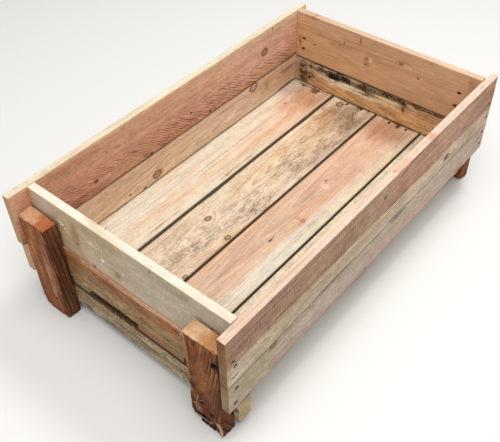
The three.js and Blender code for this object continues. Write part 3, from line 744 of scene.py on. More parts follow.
def knot_fields(graph, wood, grain):
    """The sockets of all the knots in a timber."""
    knots = Knots()
    cells, far = KNOT_RAGGED
    ragged = graph.swing(graph.stretch(grain.loose, cells), far)
    for x, y, radius, light in wood.knots:
        size = radius * MM
        offset = graph.vector("SUBTRACT", grain.place, (x * MM, y * MM, 0))
        aside = graph.split(graph.stretch(offset, (1 / size, 1 / size, 0)))[1]
        away = graph.distance(offset, KNOT_REACH[0] / size, KNOT_REACH[1] / size)
        fade = graph.math("EXPONENT", graph.times(away, away, -1.0))
        knots.swell = graph.add(knots.swell, graph.times(fade, KNOT_SWELL * size))
        bow = graph.math("DIVIDE", aside, graph.add(1.0, graph.times(aside, aside)))
        knots.push = graph.add(knots.push, graph.times(bow, fade, KNOT_BEND * size))
        near = graph.add(graph.distance(offset, KNOT_OVAL / size, 1 / size), ragged)
        core = graph.step(near, 1.04, 0.9)
        # A light heart darkens only towards its rim.
        spread = min(1.0, 2.2 * light)
        shadow = graph.add(1.0 - spread, graph.times(graph.step(near, 0.25, 1.0), spread))
        dark = graph.times(core, shadow, 1.0 - 0.7 * light)
        knots.light = graph.math("MAXIMUM", knots.light, graph.times(core, light))
        knots.dark = graph.math("MAXIMUM", knots.dark, dark)
        rim = graph.times(graph.step(near, 0.7, 0.96), graph.step(near, 1.28, 1.02))
        knots.rim = graph.math("MAXIMUM", knots.rim, rim)
        waves = graph.math("SINE", graph.times(near, KNOT_RINGS))
        knots.rings = graph.add(knots.rings, graph.times(core, waves))
    return knots


def ring_pattern(graph, wood, grain, seed):
    """The dark part of each growth ring, 0 to 1, about a pith that drifts along the timber."""
    pith_y = graph.add(graph.times(grain.along, wood.tilt[0]), wood.pith[0] * MM)
    pith_z = graph.add(graph.times(grain.along, wood.tilt[1]), wood.pith[1] * MM)
    flow = graph.split(grain.fibre)
    from_pith = graph.join(0.0, graph.less(flow[1], pith_y), graph.less(flow[2], pith_z))
    radius = graph.add(graph.vector("LENGTH", from_pith), grain.knots.swell)
    turns = graph.times(radius, 1 / (wood.ring * MM))
    cells, far = RING_UNEVEN
    uneven = graph.swing(graph.join(graph.times(turns, cells), seed * 5.0, 0.0), far)
    cells, far = RING_WAVE
    wave = graph.swing(graph.stretch(grain.loose, cells), far)
    phase = graph.math("FRACT", graph.add(turns, uneven, wave))
    clear = graph.step(graph.noise(graph.stretch(grain.loose, (3, 15, 15)), 2.0), 0.32, 0.62)
    dark = graph.times(graph.step(phase, 0.15, 0.86), graph.step(phase, 1.0, 0.93))
    return graph.times(dark, graph.add(0.35, graph.times(clear, 0.65)))


def grain_sockets(graph, wood, seed):
    """Where a point lies in the wood: the grain wanders and flows round knots."""
    coordinates = graph.node("ShaderNodeTexCoord")
    place = coordinates.outputs["Object"]
    loose = graph.vector("ADD", place, [seed * shift for shift in SEED_SHIFT])
    grain = Grain(place, loose, *graph.split(place), graph.split(coordinates.outputs["Normal"]))
    grain.knots = knot_fields(graph, wood, grain)
    roam = graph.add(*(graph.swing(graph.stretch(loose, cells), wood.wander * share * MM)
                       for cells, share in (WANDER, WANDER_FINE)))
    grain.straight = graph.less(graph.add(grain.side, roam), grain.knots.push)
    shifted = graph.add(grain.along, seed * SEED_SHIFT[0])
    grain.fibre = graph.join(shifted, grain.straight, grain.depth)
    grain.late = ring_pattern(graph, wood, grain, seed)
    for point, noises in ((grain.fibre, GRAIN_NOISES), (loose, LOOSE_NOISES)):
        for name, (cells, detail, roughness) in noises.items():
            grain.noise[name] = graph.noise(graph.stretch(point, cells), detail, roughness)
    return grain


def band_colour(graph, wood, grain, width):
    """Bands of colour across the width, streaks, and the upper face's and ends' own colours."""
    meander = graph.swing(graph.stretch(grain.loose, BAND_BEND), wood.bend)
    cells, far = BAND_RAGGED
    ragged = graph.swing(graph.stretch(grain.loose, cells), far)
    across = graph.add(graph.times(grain.straight, 1 / width), 0.5)
    grain.wavy = graph.add(across, meander, ragged)
    colour = graph.ramp(grain.wavy, wood.near)
    if wood.far:
        turned = graph.add(grain.along, graph.times(meander, 2.0))
        second = graph.step(turned, wood.turn - TURN_REACH, wood.turn + TURN_REACH)
        colour = graph.blend(second, colour, graph.ramp(grain.wavy, wood.far))
    if wood.edge:
        grain.top = graph.step(grain.facing[1], 0.4, 0.7)
        colour = graph.cover(graph.times(grain.top, 0.92), colour, wood.edge)
    for code, strength, long, wide in wood.streaks:
        streak = graph.noise(graph.stretch(grain.fibre, (long, wide, wide)), 4.0, 0.62)
        colour = graph.cover(graph.times(graph.step(streak, 0.48, 0.64), strength), colour, code)
    grain.ends = graph.step(graph.math("ABSOLUTE", grain.facing[0]), 0.5, 0.75)
    return graph.cover(graph.times(grain.ends, 0.85), colour, wood.end)


def ring_colour(graph, wood, grain, colour):
    """Rings, fine dark lines and weathering over a colour."""
    on_face = graph.less(1.0, graph.times(grain.top, 0.55))
    faint = graph.less(1.0, graph.times(grain.ends, 1 - wood.end_rings))
    strength = graph.add(0.45, graph.times(grain.noise["bands"], 1.1))
    rings = graph.times(grain.late, strength, wood.contrast, faint, on_face)
    colour = graph.tint(rings, colour, wood.late)
    lines = graph.times(graph.step(grain.noise["strands"], 0.5, 0.66), on_face)
    lines = graph.times(lines, graph.less(1.0, grain.ends), wood.lines)
    colour = graph.tint(lines, colour, wood.line)
    weather = graph.times(graph.step(grain.noise["patchy"], 0.42, 0.7), wood.grey * 0.55)
    return graph.cover(weather, colour, WEATHERED)


def knot_colour(graph, knots, colour):
    """A heart, light or dark, with fine rings in it, inside a bark line."""
    colour = graph.tint(graph.times(knots.light, 0.75), colour, LIGHT_HEART)
    colour = graph.cover(graph.times(knots.dark, 0.85), colour, DARK_HEART)
    colour = graph.tint(graph.times(graph.step(knots.rings, 0.55, 0.95), 0.4), colour, HEART_CHECK)
    return graph.cover(graph.times(knots.rim, 0.72), colour, BARK_LINE)


def patch_mask(graph, grain, patch, ragged, spots):
    """Where one patch lies: an oval with a ragged edge, plain or broken into spots."""
    offset = graph.vector("SUBTRACT", grain.place, (patch.x * MM, patch.y * MM, 0))
    gap = graph.distance(offset, 1 / (patch.reach_x * MM), 1 / (patch.reach_y * MM))
    mask = graph.step(graph.add(gap, ragged), 1.15, 0.45)
    if patch.speckle:
        mask = graph.times(mask, graph.add(1 - patch.speckle, graph.times(spots, patch.speckle)))
    if patch.side:
        outward = graph.times(grain.depth, float(patch.side))
        mask = graph.times(mask, graph.step(outward, -2 * MM, 2 * MM))
    return graph.times(mask, patch.strength)


def patch_colours(graph, wood, grain, colour):
    """Stains, bruises and mould, and some painted shade and shadow."""
    cells, far = PATCH_RAGGED
    ragged = graph.swing(graph.stretch(grain.loose, cells), far, 4.0)
    specks = graph.noise(graph.stretch(grain.loose, (120, 230, 230)), 4.0, 0.7)
    clumps = graph.noise(graph.stretch(grain.fibre, (28, 70, 70)), 3.0)
    spots = graph.add(specks, graph.times(graph.less(clumps, 0.5), 0.9))
    spots = graph.step(spots, 0.43, 0.66)
    for row in wood.patches:
        patch = Patch(*row)
        mask = patch_mask(graph, grain, patch, ragged, spots)
        colour = graph.cover(mask, colour, patch.colour)
    return colour


def light_and_dark(graph, wood, grain, colour):
    """Light and dark variation, less of it on planed edges and ends, and torn flecks."""
    torn_share = 0.2 + 0.9 * wood.grit
    mottle_share = 0.2 + 0.6 * wood.grit
    tone = 1.0
    for name, share in (("fine", 0.45 * wood.variety), ("strands", 0.45 * wood.variety),
                        ("bands", 0.35 * wood.variety), ("mottle", mottle_share * wood.variety),
                        ("torn", torn_share * wood.variety), ("patchy", 0.3)):
        tone = graph.add(tone, graph.times(graph.less(grain.noise[name], 0.5), share))
    muted = graph.add(graph.times(grain.top, 0.6), graph.times(grain.ends, 0.65))
    tone = graph.times(graph.less(tone, 1.0), graph.less(1.0, muted))
    colour = graph.shade(colour, graph.math("MAXIMUM", graph.add(1.0, tone), 0.15))
    dashes = graph.step(grain.noise["dashes"], 0.64, 0.72)
    crowd = graph.step(grain.noise["crowd"], 0.48, 0.62)
    grain.fleck = graph.times(dashes, crowd, graph.less(1.0, grain.ends), wood.flecks)
    return graph.tint(grain.fleck, colour, TORN_FLECK)


def saw_marks(graph, wood, grain):
    """Ridges left by the saw, about 0, in the zone where the timber shows them."""
    spacing, slant, strength = wood.ripple
    spacing *= MM
    reach = math.hypot(1, slant)
    cells, far = SAW_DRIFT
    drift = graph.swing(graph.stretch(grain.loose, cells), far)
    over = graph.add(grain.along, graph.times(grain.side, slant), drift)
    beside = graph.less(graph.times(grain.side, 1 / reach), graph.times(grain.along, slant / reach))
    even = graph.math("SINE", graph.times(over, 2 * math.pi / spacing))
    uneven = graph.join(graph.times(over, 1.7 / spacing), graph.times(beside, 16.0), 0.0)
    rough = graph.less(graph.noise(uneven, 2.0, 0.6), 0.5)
    marks = graph.add(graph.times(even, 0.5), graph.times(rough, 3.4))
    shown = graph.step(graph.noise(graph.stretch(grain.loose, (6, 16, 16)), 2.0), 0.32, 0.55)
    low, high = wood.ripple_zone
    shown = graph.times(shown, graph.step(grain.wavy, low - 0.06, low + 0.06))
    shown = graph.times(shown, graph.step(grain.wavy, high + 0.16, high - 0.1))
    shown = graph.times(shown, graph.step(graph.math("ABSOLUTE", grain.facing[2]), 0.5, 0.8))
    first, last = wood.ripple_span
    shown = graph.times(shown, graph.step(grain.along, (first - 60) * MM, (first + 60) * MM))
    shown = graph.times(shown, graph.step(grain.along, (last + 60) * MM, (last - 60) * MM))
    return graph.times(marks, shown, strength)


def grime_and_shade_colours(graph, wood, grain, width, screws, colour):
    """Grime and painted shade along the corners where boards meet, painted shade on the narrow faces, and
    stains round screws.
    """
    cells, far = GRIME_AND_SHADE_RAGGED
    # Grime and painted shade along the corners where other boards meet this one.
    for strength, limit in zip(wood.seam_grime_and_shade, (-width / 2, width / 2)):
        if strength:
            gap = graph.math("ABSOLUTE", graph.less(grain.side, limit))
            gap = graph.add(gap, graph.swing(graph.stretch(grain.loose, cells), far))
            grime_and_shade = graph.times(graph.step(gap, GRIME_AND_SHADE_FROM, GRIME_AND_SHADE_TO), strength)
            colour = graph.cover(grime_and_shade, colour, GRIME_AND_SHADE)
    # Painted shade on the narrow faces, standing in for the shade in the gaps between boards and on shaded
    # sides.
    if wood.narrow_shade:
        narrow = graph.step(graph.math("ABSOLUTE", grain.facing[1]), 0.35, 0.75)
        colour = graph.cover(graph.times(narrow, wood.narrow_shade), colour, wood.narrow_shade_colour)
    for x, y in screws:
        offset = graph.vector("SUBTRACT", grain.place, (x, y, 0))
        gap = graph.distance(offset, STAIN_OVAL / STAIN_RADIUS, 1 / STAIN_RADIUS)
        colour = graph.cover(graph.times(graph.step(gap, 1.0, 0.7), 0.8), colour, SCREW_STAIN)
    return colour


def relief(graph, wood, grain):
    """How far the surface stands up, in metres, for the bump."""
    return graph.add(
        graph.times(grain.late, 0.16 * wood.rough * MM),
        graph.times(grain.noise["fine"], 0.22 * wood.rough * MM),
        graph.times(grain.noise["strands"], 0.40 * wood.rough * MM),
        graph.times(grain.noise["torn"], 0.30 * wood.grit * MM),
        graph.times(grain.fleck, -0.35 * MM),
        graph.times(grain.knots.rim, -0.3 * MM),
        graph.times(grain.ends, grain.noise["torn"], 1.0 * MM),
        graph.times(grain.marks, -0.22 * MM),
    )


def wood_material(name, wood, width, seed, screws):
    """A solid wood texture, drawn in the timber's own axes."""
    graph = Graph(name)
    grain = grain_sockets(graph, wood, seed)
    colour = band_colour(graph, wood, grain, width)
    colour = ring_colour(graph, wood, grain, colour)
    if wood.knots:
        colour = knot_colour(graph, grain.knots, colour)
    if wood.patches:
        colour = patch_colours(graph, wood, grain, colour)
    colour = light_and_dark(graph, wood, grain, colour)
    # Saw marks: painted shade in their grooves and a painted highlight on their crests, over their bump.
    if wood.ripple[2]:
        grain.marks = saw_marks(graph, wood, grain)
        colour = graph.tint(graph.math("MAXIMUM", grain.marks, 0.0), colour, wood.mark)
        saw_crest_highlight = graph.times(graph.math("MINIMUM", grain.marks, 0.0), 0.12)
        colour = graph.shade(colour, graph.less(1.0, saw_crest_highlight))
    colour = grime_and_shade_colours(graph, wood, grain, width, screws, colour)
    roughness = graph.add(0.70, graph.times(grain.noise["patchy"], 0.2), graph.times(grain.late, -0.06))
    return graph.surface(colour, roughness, relief(graph, wood, grain))


# ---------------------------------------------------------------- timber meshes

EDGE_INSETS = (0.0, 0.35, 0.9, 1.8, 3.2, 5.0)      # lattice lines beside each corner, mm
SHARP = math.radians(38)                           # faces that meet more sharply keep a crease

# Value noise on the meshes: cells per metre along, across and through a timber.
WEAR_BROAD = (14, 9, 9)
WEAR_FINE = (90, 40, 40)
CHIP_RAGGED = (160, 60, 60)
HOLLOW_RAGGED = (60, 90, 90)
HOLLOW_ROUGH = (90, 260, 260)
FIBRE_BROAD = (7, 70, 70)
FIBRE_FINE = (25, 240, 240)
END_BROAD = (5, 120, 120)
END_FINE = (5, 330, 330)
MOST_WORN = 0.47                                   # largest corner radius, as a share of half the thickness
HASH_STEPS = (374761393, 668265263, 1274126177)    # mix a cell's x, y and z into one whole number
HASH_SEED = 974711
HASH_MIX = 1103515245
HASH_TOP = 0xFFFF
SEED_OFFSET = 17.13                                # cells between the noise of one seed and the next


def fuzz(points, scale, seed):
    """Smooth value noise from 0 to 1 at an array of points; scale is cells per metre on each axis."""
    cell = points * np.asarray(scale, float) + seed * SEED_OFFSET
    base = np.floor(cell).astype(np.int64)
    part = cell - base
    part = part * part * (3 - 2 * part)
    total = np.zeros(len(points))
    for corner in range(8):
        step = np.array([corner & 1, corner >> 1 & 1, corner >> 2 & 1])
        key = (base + step) @ np.array(HASH_STEPS) + seed * HASH_SEED
        key = (key ^ (key >> 13)) * HASH_MIX
        value = ((key ^ (key >> 16)) & HASH_TOP) / HASH_TOP
        total += value * np.prod(np.where(step, part, 1 - part), axis=1)
    return total


def lattice_lines(half, step):
    """Where lattice lines cross one axis: close beside both corners, then evenly spaced."""
    insets = [inset * MM for inset in EDGE_INSETS if inset * MM < half * 0.9]
    edge = half - np.array(insets)
    count = max(1, round(2 * edge[-1] / (step * MM)))
    inner = np.linspace(-edge[-1], edge[-1], count + 1)
    return np.concatenate([-edge[:-1], inner, edge[:-1][::-1]])


def lattice_shell(lines):
    """The skin of a box lattice: its points and outward quads."""
    shape = tuple(len(values) for values in lines)
    index = np.indices(shape)
    skin = np.zeros(shape, bool)
    for axis in range(3):
        skin |= (index[axis] == 0) | (index[axis] == shape[axis] - 1)
    ids = np.full(shape, -1)
    ids[skin] = np.arange(skin.sum())
    points = np.stack([lines[axis][index[axis][skin]] for axis in range(3)], axis=1)
    quads = []
    for axis in range(3):
        for end, outward in ((0, axis == 1), (-1, axis != 1)):
            sheet = np.take(ids, end, axis=axis)
            quad = np.stack([sheet[:-1, :-1], sheet[1:, :-1], sheet[1:, 1:], sheet[:-1, 1:]], -1)
            quad = quad.reshape(-1, 4)
            quads.append(quad if outward else quad[:, ::-1])
    return points, np.concatenate(quads)


def worn_radius(points, wood, half, seed):
    """The corner radius at each point: worn unevenly, with a few chips."""
    radius = wood.round * MM * (0.45 + 1.1 * fuzz(points, WEAR_BROAD, seed))
    radius *= 0.8 + 0.4 * fuzz(points, WEAR_FINE, seed + 1)
    jagged = 0.55 + 0.9 * fuzz(points, CHIP_RAGGED, seed + 6)
    for x, y_sign, z_sign, long, deep in wood.chips:
        at = np.abs(points[:, 0] - x * MM) / (long * MM)
        here = (points[:, 1] * y_sign > half[1] * 0.5) & (points[:, 2] * z_sign > 0)
        shape = np.clip(1 - at, 0, 1) ** 0.6 * jagged
        radius += np.where(here, shape * deep * MM, 0)
    return np.minimum(radius, half.min() * MOST_WORN)


def hollow_depth(points, out, wood, seed):
    """How far torn and rotten dips take each point in."""
    depth = np.zeros(len(points))
    wobble = fuzz(points, HOLLOW_RAGGED, seed + 7)
    rough = fuzz(points, HOLLOW_ROUGH, seed + 8)
    for row in wood.hollows:
        hollow = Hollow(*row)
        along = (points[:, 0] / MM - hollow.x) / hollow.reach_x
        across = (points[:, 1] / MM - hollow.y) / hollow.reach_y
        gap = np.hypot(along, across)
        bowl = np.clip(1.15 - gap - 0.5 * (wobble - 0.5), 0, 1) ** 0.6
        there = out[:, 2] * hollow.side > 0.5
        depth = np.maximum(depth, np.where(there, bowl * (0.65 + 0.7 * rough) * hollow.deep * MM, 0))
    return depth


def timber_points(points, wood, half, seed):
    """Rounds a box lattice into a worn timber. Wood is only ever taken away."""
    radius = worn_radius(points, wood, half, seed)[:, None]
    inner = np.clip(points, -(half - radius), half - radius)
    out = points - inner
    length = np.linalg.norm(out, axis=1, keepdims=True)
    out = out / np.maximum(length, 1e-9)
    rounded = inner + out * radius
    relief = 0.20 * wood.rough * MM * fuzz(points, FIBRE_BROAD, seed + 2)
    relief += 0.25 * wood.rough * MM * fuzz(points, FIBRE_FINE, seed + 3)
    at_end = np.abs(out[:, 0]) > 0.6
    bristle = fuzz(points, END_FINE, seed + 4) ** 2 + 0.5 * fuzz(points, END_BROAD, seed + 5)
    relief += np.where(at_end, wood.torn * MM * bristle, 0)
    relief += hollow_depth(points, out, wood, seed)
    return rounded - out * relief[:, None]


def mesh_object(name, points, faces):
    mesh = bpy.data.meshes.new(name)
    mesh.from_pydata([tuple(p) for p in points], [], [tuple(int(v) for v in face) for face in faces])
    mesh.validate()
    made = bpy.data.objects.new(name, mesh)
    bpy.context.scene.collection.objects.link(made)
    return made


def finish_piece(piece, material):
    """Shades a piece, gives it its material and puts it on the planter's one body."""
    piece.data.shade_smooth()
    piece.data.set_sharp_from_angle(angle=SHARP)
    piece.data.materials.clear()
    piece.data.materials.append(material)
    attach(piece, "root")


def timber_frame(node, axes):
    """A node's centre and directions as a matrix, and its half sizes along its own axes."""
    low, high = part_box(node)
    x, y, z = (Vector(direction) for direction in AXES[axes])
    size = high - low
    half = np.array([abs(size.dot(direction)) / 2 for direction in (x, y, z)])
    turn = Matrix((x, y, z)).transposed().to_4x4()
    return Matrix.Translation((low + high) / 2) @ turn, half


# ---------------------------------------------------------------- screws, nails and the holes they fill

SCREW_SIDES = 20
HOLE_CLEARANCE = 0.3 * MM
MOUTH = 3 * MM                          # how far a cutter reaches out of the wood
SHANK_SHARE = 0.52                      # a screw's shank radius as a share of its head's
NAIL = {"head": 2.6, "thick": 0.7, "shank": 1.4, "long": 42.0, "sink": 0.9}    # mm
NAIL_INSET = 9 * MM                     # from the bearer's face
NAIL_SHARES = (0.28, 0.66)              # where the nails lie across each floor board
NAIL_STRAY = (3, 5)                     # how far a nail is out of its place along x and y, mm
BELOW_SIDE = 5 * MM                     # the screws from below: from the bearer's middle,
BELOW_SPREAD = 32 * MM                  # and from the floor board's middle
BELOW_MARGIN = 15 * MM                  # the least distance from the bearer's ends
BELOW_STRAY = (2, 4)                    # how far they are out of their places along x and y, mm
BELOW = {"long": 76 * MM, "head": 4.6 * MM, "sink": 1 * MM}
FLOOR_BOARDS = tuple(f"floor_board_{number}" for number in range(1, 5))
HOLE_SIDES = 12                         # of an old nail hole
CRACK_STEP = 8                          # between the points of a crack's edge, mm
PITCH = 2.4 * MM                        # of a screw's thread
POINT = 5 * MM                          # the length of a screw's point
RECESS = (                              # a drive recess: height, reach as a share of the head, half width
    (1 * MM, 0.5, 0.42 * MM),
    (-1.7 * MM, 0.3, 0.3 * MM),
)
MARK_NEAR = 2 * MM                      # a head this near a wide face leaves a mark on it


@dataclass
class Fastener:
    """A screw or nail in the frame: its head, its direction and its sizes in metres."""
    name: str
    head: Vector
    direction: Vector
    length: float
    head_radius: float
    shank_radius: float
    nail: bool = False


def read_screw(name):
    """The screw that a CAD node holds."""
    low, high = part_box(name)
    size = high - low
    axis = max(range(3), key=lambda i: size[i])
    middle = (low + high) / 2
    # The head is the wide end, so it is where the node's outermost ring lies.
    across = [i for i in range(3) if i != axis]
    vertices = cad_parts[name].data.vertices
    widest = max(vertices, key=lambda v: sum((v.co[i] - middle[i]) ** 2 for i in across))
    sign = 1 if widest.co[axis] < middle[axis] else -1
    direction = Vector([sign if i == axis else 0 for i in range(3)])
    head = middle - direction * size[axis] / 2
    head_radius = size[across[0]] / 2
    return Fastener(name, head, direction, size[axis], head_radius, head_radius * SHANK_SHARE)


def strays(seed, reaches):
    """How far a fastener is out of its place along x and y, in metres."""
    draw = random.Random(seed)
    return [draw.uniform(-reach, reach) * MM for reach in reaches]


def floor_nails():
    """Two nails through each floor board into the left and right bearers."""
    nails = []
    for board in FLOOR_BOARDS:
        low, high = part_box(board)
        for bearer, inward in (("left_bearer", 1), ("right_bearer", -1)):
            first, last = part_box(bearer)
            inner = last.x if inward > 0 else first.x
            for share in NAIL_SHARES:
                stray_x, stray_y = strays(len(nails), NAIL_STRAY)
                x = inner - inward * NAIL_INSET + stray_x
                y = low.y + (high.y - low.y) * share + stray_y
                head = Vector((x, y, high.z - NAIL["sink"] * MM))
                nails.append(Fastener(f"floor_nail_{len(nails) + 1}", head, Vector((0, 0, -1)),
                                      NAIL["long"] * MM, NAIL["head"] * MM, NAIL["shank"] * MM, True))
    return nails


def bearer_screws():
    """Two screws up through the middle bearer into each floor board."""
    screws = []
    low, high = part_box("middle_bearer")
    for board in FLOOR_BOARDS:
        first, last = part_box(board)
        middle = (first.y + last.y) / 2
        for side in (-1, 1):
            stray_x, stray_y = strays(90 + len(screws), BELOW_STRAY)
            x = (low.x + high.x) / 2 + side * BELOW_SIDE + stray_x
            y = middle + side * BELOW_SPREAD + stray_y
            y = min(max(y, low.y + BELOW_MARGIN), high.y - BELOW_MARGIN)
            head = Vector((x, y, low.z + BELOW["sink"]))
            screws.append(Fastener(f"bearer_screw_{len(screws) + 1}", head, Vector((0, 0, 1)),
                                   BELOW["long"], BELOW["head"], BELOW["head"] * SHANK_SHARE))
    return screws


def lathe(name, profile, sides, centre, direction):
    """Turns (radius, depth) points round an axis through centre; depth runs along direction."""
    points = []
    faces = []
    rings = []
    for radius, depth in profile:
        if radius <= 0:
            rings.append([len(points)])
            points.append((0, 0, -depth))
            continue
        rings.append(range(len(points), len(points) + sides))
        for i in range(sides):
            angle = 2 * math.pi * i / sides
            points.append((radius * math.cos(angle), radius * math.sin(angle), -depth))
    for upper, lower in zip(rings, rings[1:]):
        for i in range(sides):
            j = (i + 1) % sides
            if len(upper) == 1:
                faces.append((upper[0], lower[i], lower[j]))
            elif len(lower) == 1:
                faces.append((upper[i], lower[0], upper[j]))
            else:
                faces.append((upper[i], lower[i], lower[j], upper[j]))
    made = mesh_object(name, points, faces)
    turn = (-direction).to_track_quat("Z", "Y").to_matrix().to_4x4()
    made.data.transform(Matrix.Translation(centre) @ turn)
    return made


def fastener_cutter(fastener):
    """The hole for a screw or nail: open above the head and a little wider all along."""
    gap = HOLE_CLEARANCE
    head = fastener.head_radius
    shank = fastener.shank_radius + gap
    under = NAIL["thick"] * MM + gap if fastener.nail else head - fastener.shank_radius + gap
    profile = [
        (0, -MOUTH),
        (head + gap * 1.5, -MOUTH),
        (head + gap, under if fastener.nail else 0),
        (shank, under + (0.1 * MM if fastener.nail else 0)),
        (shank, fastener.length + gap),
        (0, fastener.length + gap),
    ]
    return lathe("cutter", profile, SCREW_SIDES, fastener.head, fastener.direction)


def hole_cutter(matrix, half, hole):
    """An old nail hole in a wide face."""
    x, y, side, radius, deep = hole
    mouth = matrix @ Vector((x * MM, y * MM, side * half[2]))
    inward = matrix.to_3x3() @ Vector((0, 0, -side))
    profile = [
        (0, -MOUTH), (radius * MM * 1.25, -MOUTH), (radius * MM, 1 * MM),
        (radius * 0.7 * MM, deep * MM), (0, deep * MM + 1 * MM),
    ]
    return lathe("cutter", profile, HOLE_SIDES, mouth, inward)


def crack_cutter(matrix, half, crack, seed):
    """A thin wandering blade through a timber's thickness, tapering to nothing at its inner end."""
    x, y, length, width, slope = crack
    draw = random.Random(seed)
    count = max(6, round(length / CRACK_STEP))
    left = []
    right = []
    for i in range(count + 1):
        share = i / count
        opening = width * (1 - share) ** 0.7 * draw.uniform(0.7, 1.2) + 0.02
        at = x + share * length
        centre = y + slope * share * length + draw.uniform(-0.5, 0.5)
        left.append((at * MM, (centre + opening / 2) * MM))
        right.append((at * MM, (centre - opening / 2) * MM))
    outline = right + left[::-1]
    deep = half[2] + 1 * MM
    points = [(px, py, -deep) for px, py in outline] + [(px, py, deep) for px, py in outline]
    total = len(outline)
    faces = [tuple(reversed(range(total))), tuple(range(total, 2 * total))]
    faces += [(i, (i + 1) % total, total + (i + 1) % total, total + i) for i in range(total)]
    made = mesh_object("cutter", points, faces)
    shape = bmesh.new()
    shape.from_mesh(made.data)
    bmesh.ops.triangulate(shape, faces=[face for face in shape.faces if len(face.verts) > 4])
    bmesh.ops.recalc_face_normals(shape, faces=shape.faces)
    shape.to_mesh(made.data)
    shape.free()
    made.data.transform(matrix)
    return made


def joined(parts):
    """One mesh object from several that stand apart."""
    shape = bmesh.new()
    for part in parts:
        shape.from_mesh(part.data)
    remove(parts[1:])
    shape.to_mesh(parts[0].data)
    shape.free()
    return parts[0]


def remove(things):
    for thing in things:
        data = thing.data
        bpy.data.objects.remove(thing)
        bpy.data.meshes.remove(data)


def cut(piece, cutters):
    """Takes the cutters out of the piece, for good, and removes them."""
    for cutter in cutters:
        carve = piece.modifiers.new("cut", "BOOLEAN")
        carve.operation = "DIFFERENCE"
        carve.solver = "MANIFOLD"
        carve.object = cutter
    bpy.context.view_layer.update()
    shape = bpy.data.meshes.new_from_object(piece.evaluated_get(bpy.context.evaluated_depsgraph_get()))
    piece.modifiers.clear()
    old = piece.data
    piece.data = shape
    bpy.data.meshes.remove(old)
    remove(cutters)


def touches(fastener, low, high):
    """Whether a screw or nail runs inside a box."""
    ends = (fastener.head, fastener.head + fastener.direction * fastener.length)
    return all(min(e[i] for e in ends) < high[i] and max(e[i] for e in ends) > low[i] for i in range(3))


def build_timber(name, wood, fasteners, seed):
    matrix, half = timber_frame(name, wood.axes)
    low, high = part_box(name)
    mine = [fastener for fastener in fasteners if touches(fastener, low, high)]
    step_x, step_y = wood.mesh_step
    lines = [lattice_lines(half[0], step_x), lattice_lines(half[1], step_y), lattice_lines(half[2], step_y)]
    points, faces = lattice_shell(lines)
    piece = mesh_object(name + "_wood", timber_points(points, wood, half, seed), faces)
    piece.matrix_world = matrix
    bpy.context.view_layer.update()
    cutters = []
    if mine:
        cutters.append(joined([fastener_cutter(fastener) for fastener in mine]))
    cutters += [hole_cutter(matrix, half, hole) for hole in wood.holes]
    cutters += [crack_cutter(matrix, half, crack, seed + i) for i, crack in enumerate(wood.cracks)]
    if cutters:
        cut(piece, cutters)
    # Only a head that shows on a wide face of this timber leaves a mark on it.
    heads = [matrix.inverted() @ fastener.head for fastener in mine]
    marks = [(head.x, head.y) for head in heads if abs(abs(head.z) - half[2]) < MARK_NEAR]
    finish_piece(piece, wood_material(name, wood, half[1] * 2, seed, marks))
    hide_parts(name)


METAL_SPOTS = (900, 900, 900)           # cells per metre
METAL_SCUFFS = (2500, 2500, 600)


def metal_material(name, colour, rust, rust_share):
    """Dull steel with scuffs and spots of rust."""
    graph = Graph(name)
    place = graph.node("ShaderNodeTexCoord").outputs["Object"]
    spots = graph.noise(graph.stretch(place, METAL_SPOTS), 4.0, 0.6)
    scuffs = graph.noise(graph.stretch(place, METAL_SCUFFS), 2.0)
    mask = graph.step(spots, 0.75 - rust_share * 0.5, 0.85 - rust_share * 0.5)
    tone = graph.blend(mask, linear(colour), linear(rust))
    tone = graph.shade(tone, graph.add(0.8, graph.times(scuffs, 0.4)))
    roughness = graph.add(0.38, graph.times(mask, 0.4), graph.times(scuffs, 0.1))
    height = graph.times(graph.add(spots, graph.times(scuffs, 0.3)), 0.05 * MM)
    return graph.surface(tone, roughness, height, metallic=0.75, specular=0.5)


def recess_cutters(screw, turn):
    """Two crossed wedges that make a cross recess in a screw's head."""
    spin = Matrix.Rotation(random.Random(screw.name).uniform(0, math.pi), 4, "Z")
    faces = [(0, 1, 2, 3), (7, 6, 5, 4), (4, 5, 1, 0), (5, 6, 2, 1), (6, 7, 3, 2), (7, 4, 0, 3)]
    arms = []
    for quarter in (0, math.pi / 2):
        points = []
        for z, reach, side in RECESS:
            reach *= screw.head_radius
            points += [(-reach, -side, z), (reach, -side, z), (reach, side, z), (-reach, side, z)]
        arm = mesh_object("cutter", points, faces)
        around = Matrix.Rotation(quarter, 4, "Z")
        arm.data.transform(Matrix.Translation(screw.head) @ turn @ spin @ around)
        arms.append(arm)
    return arms


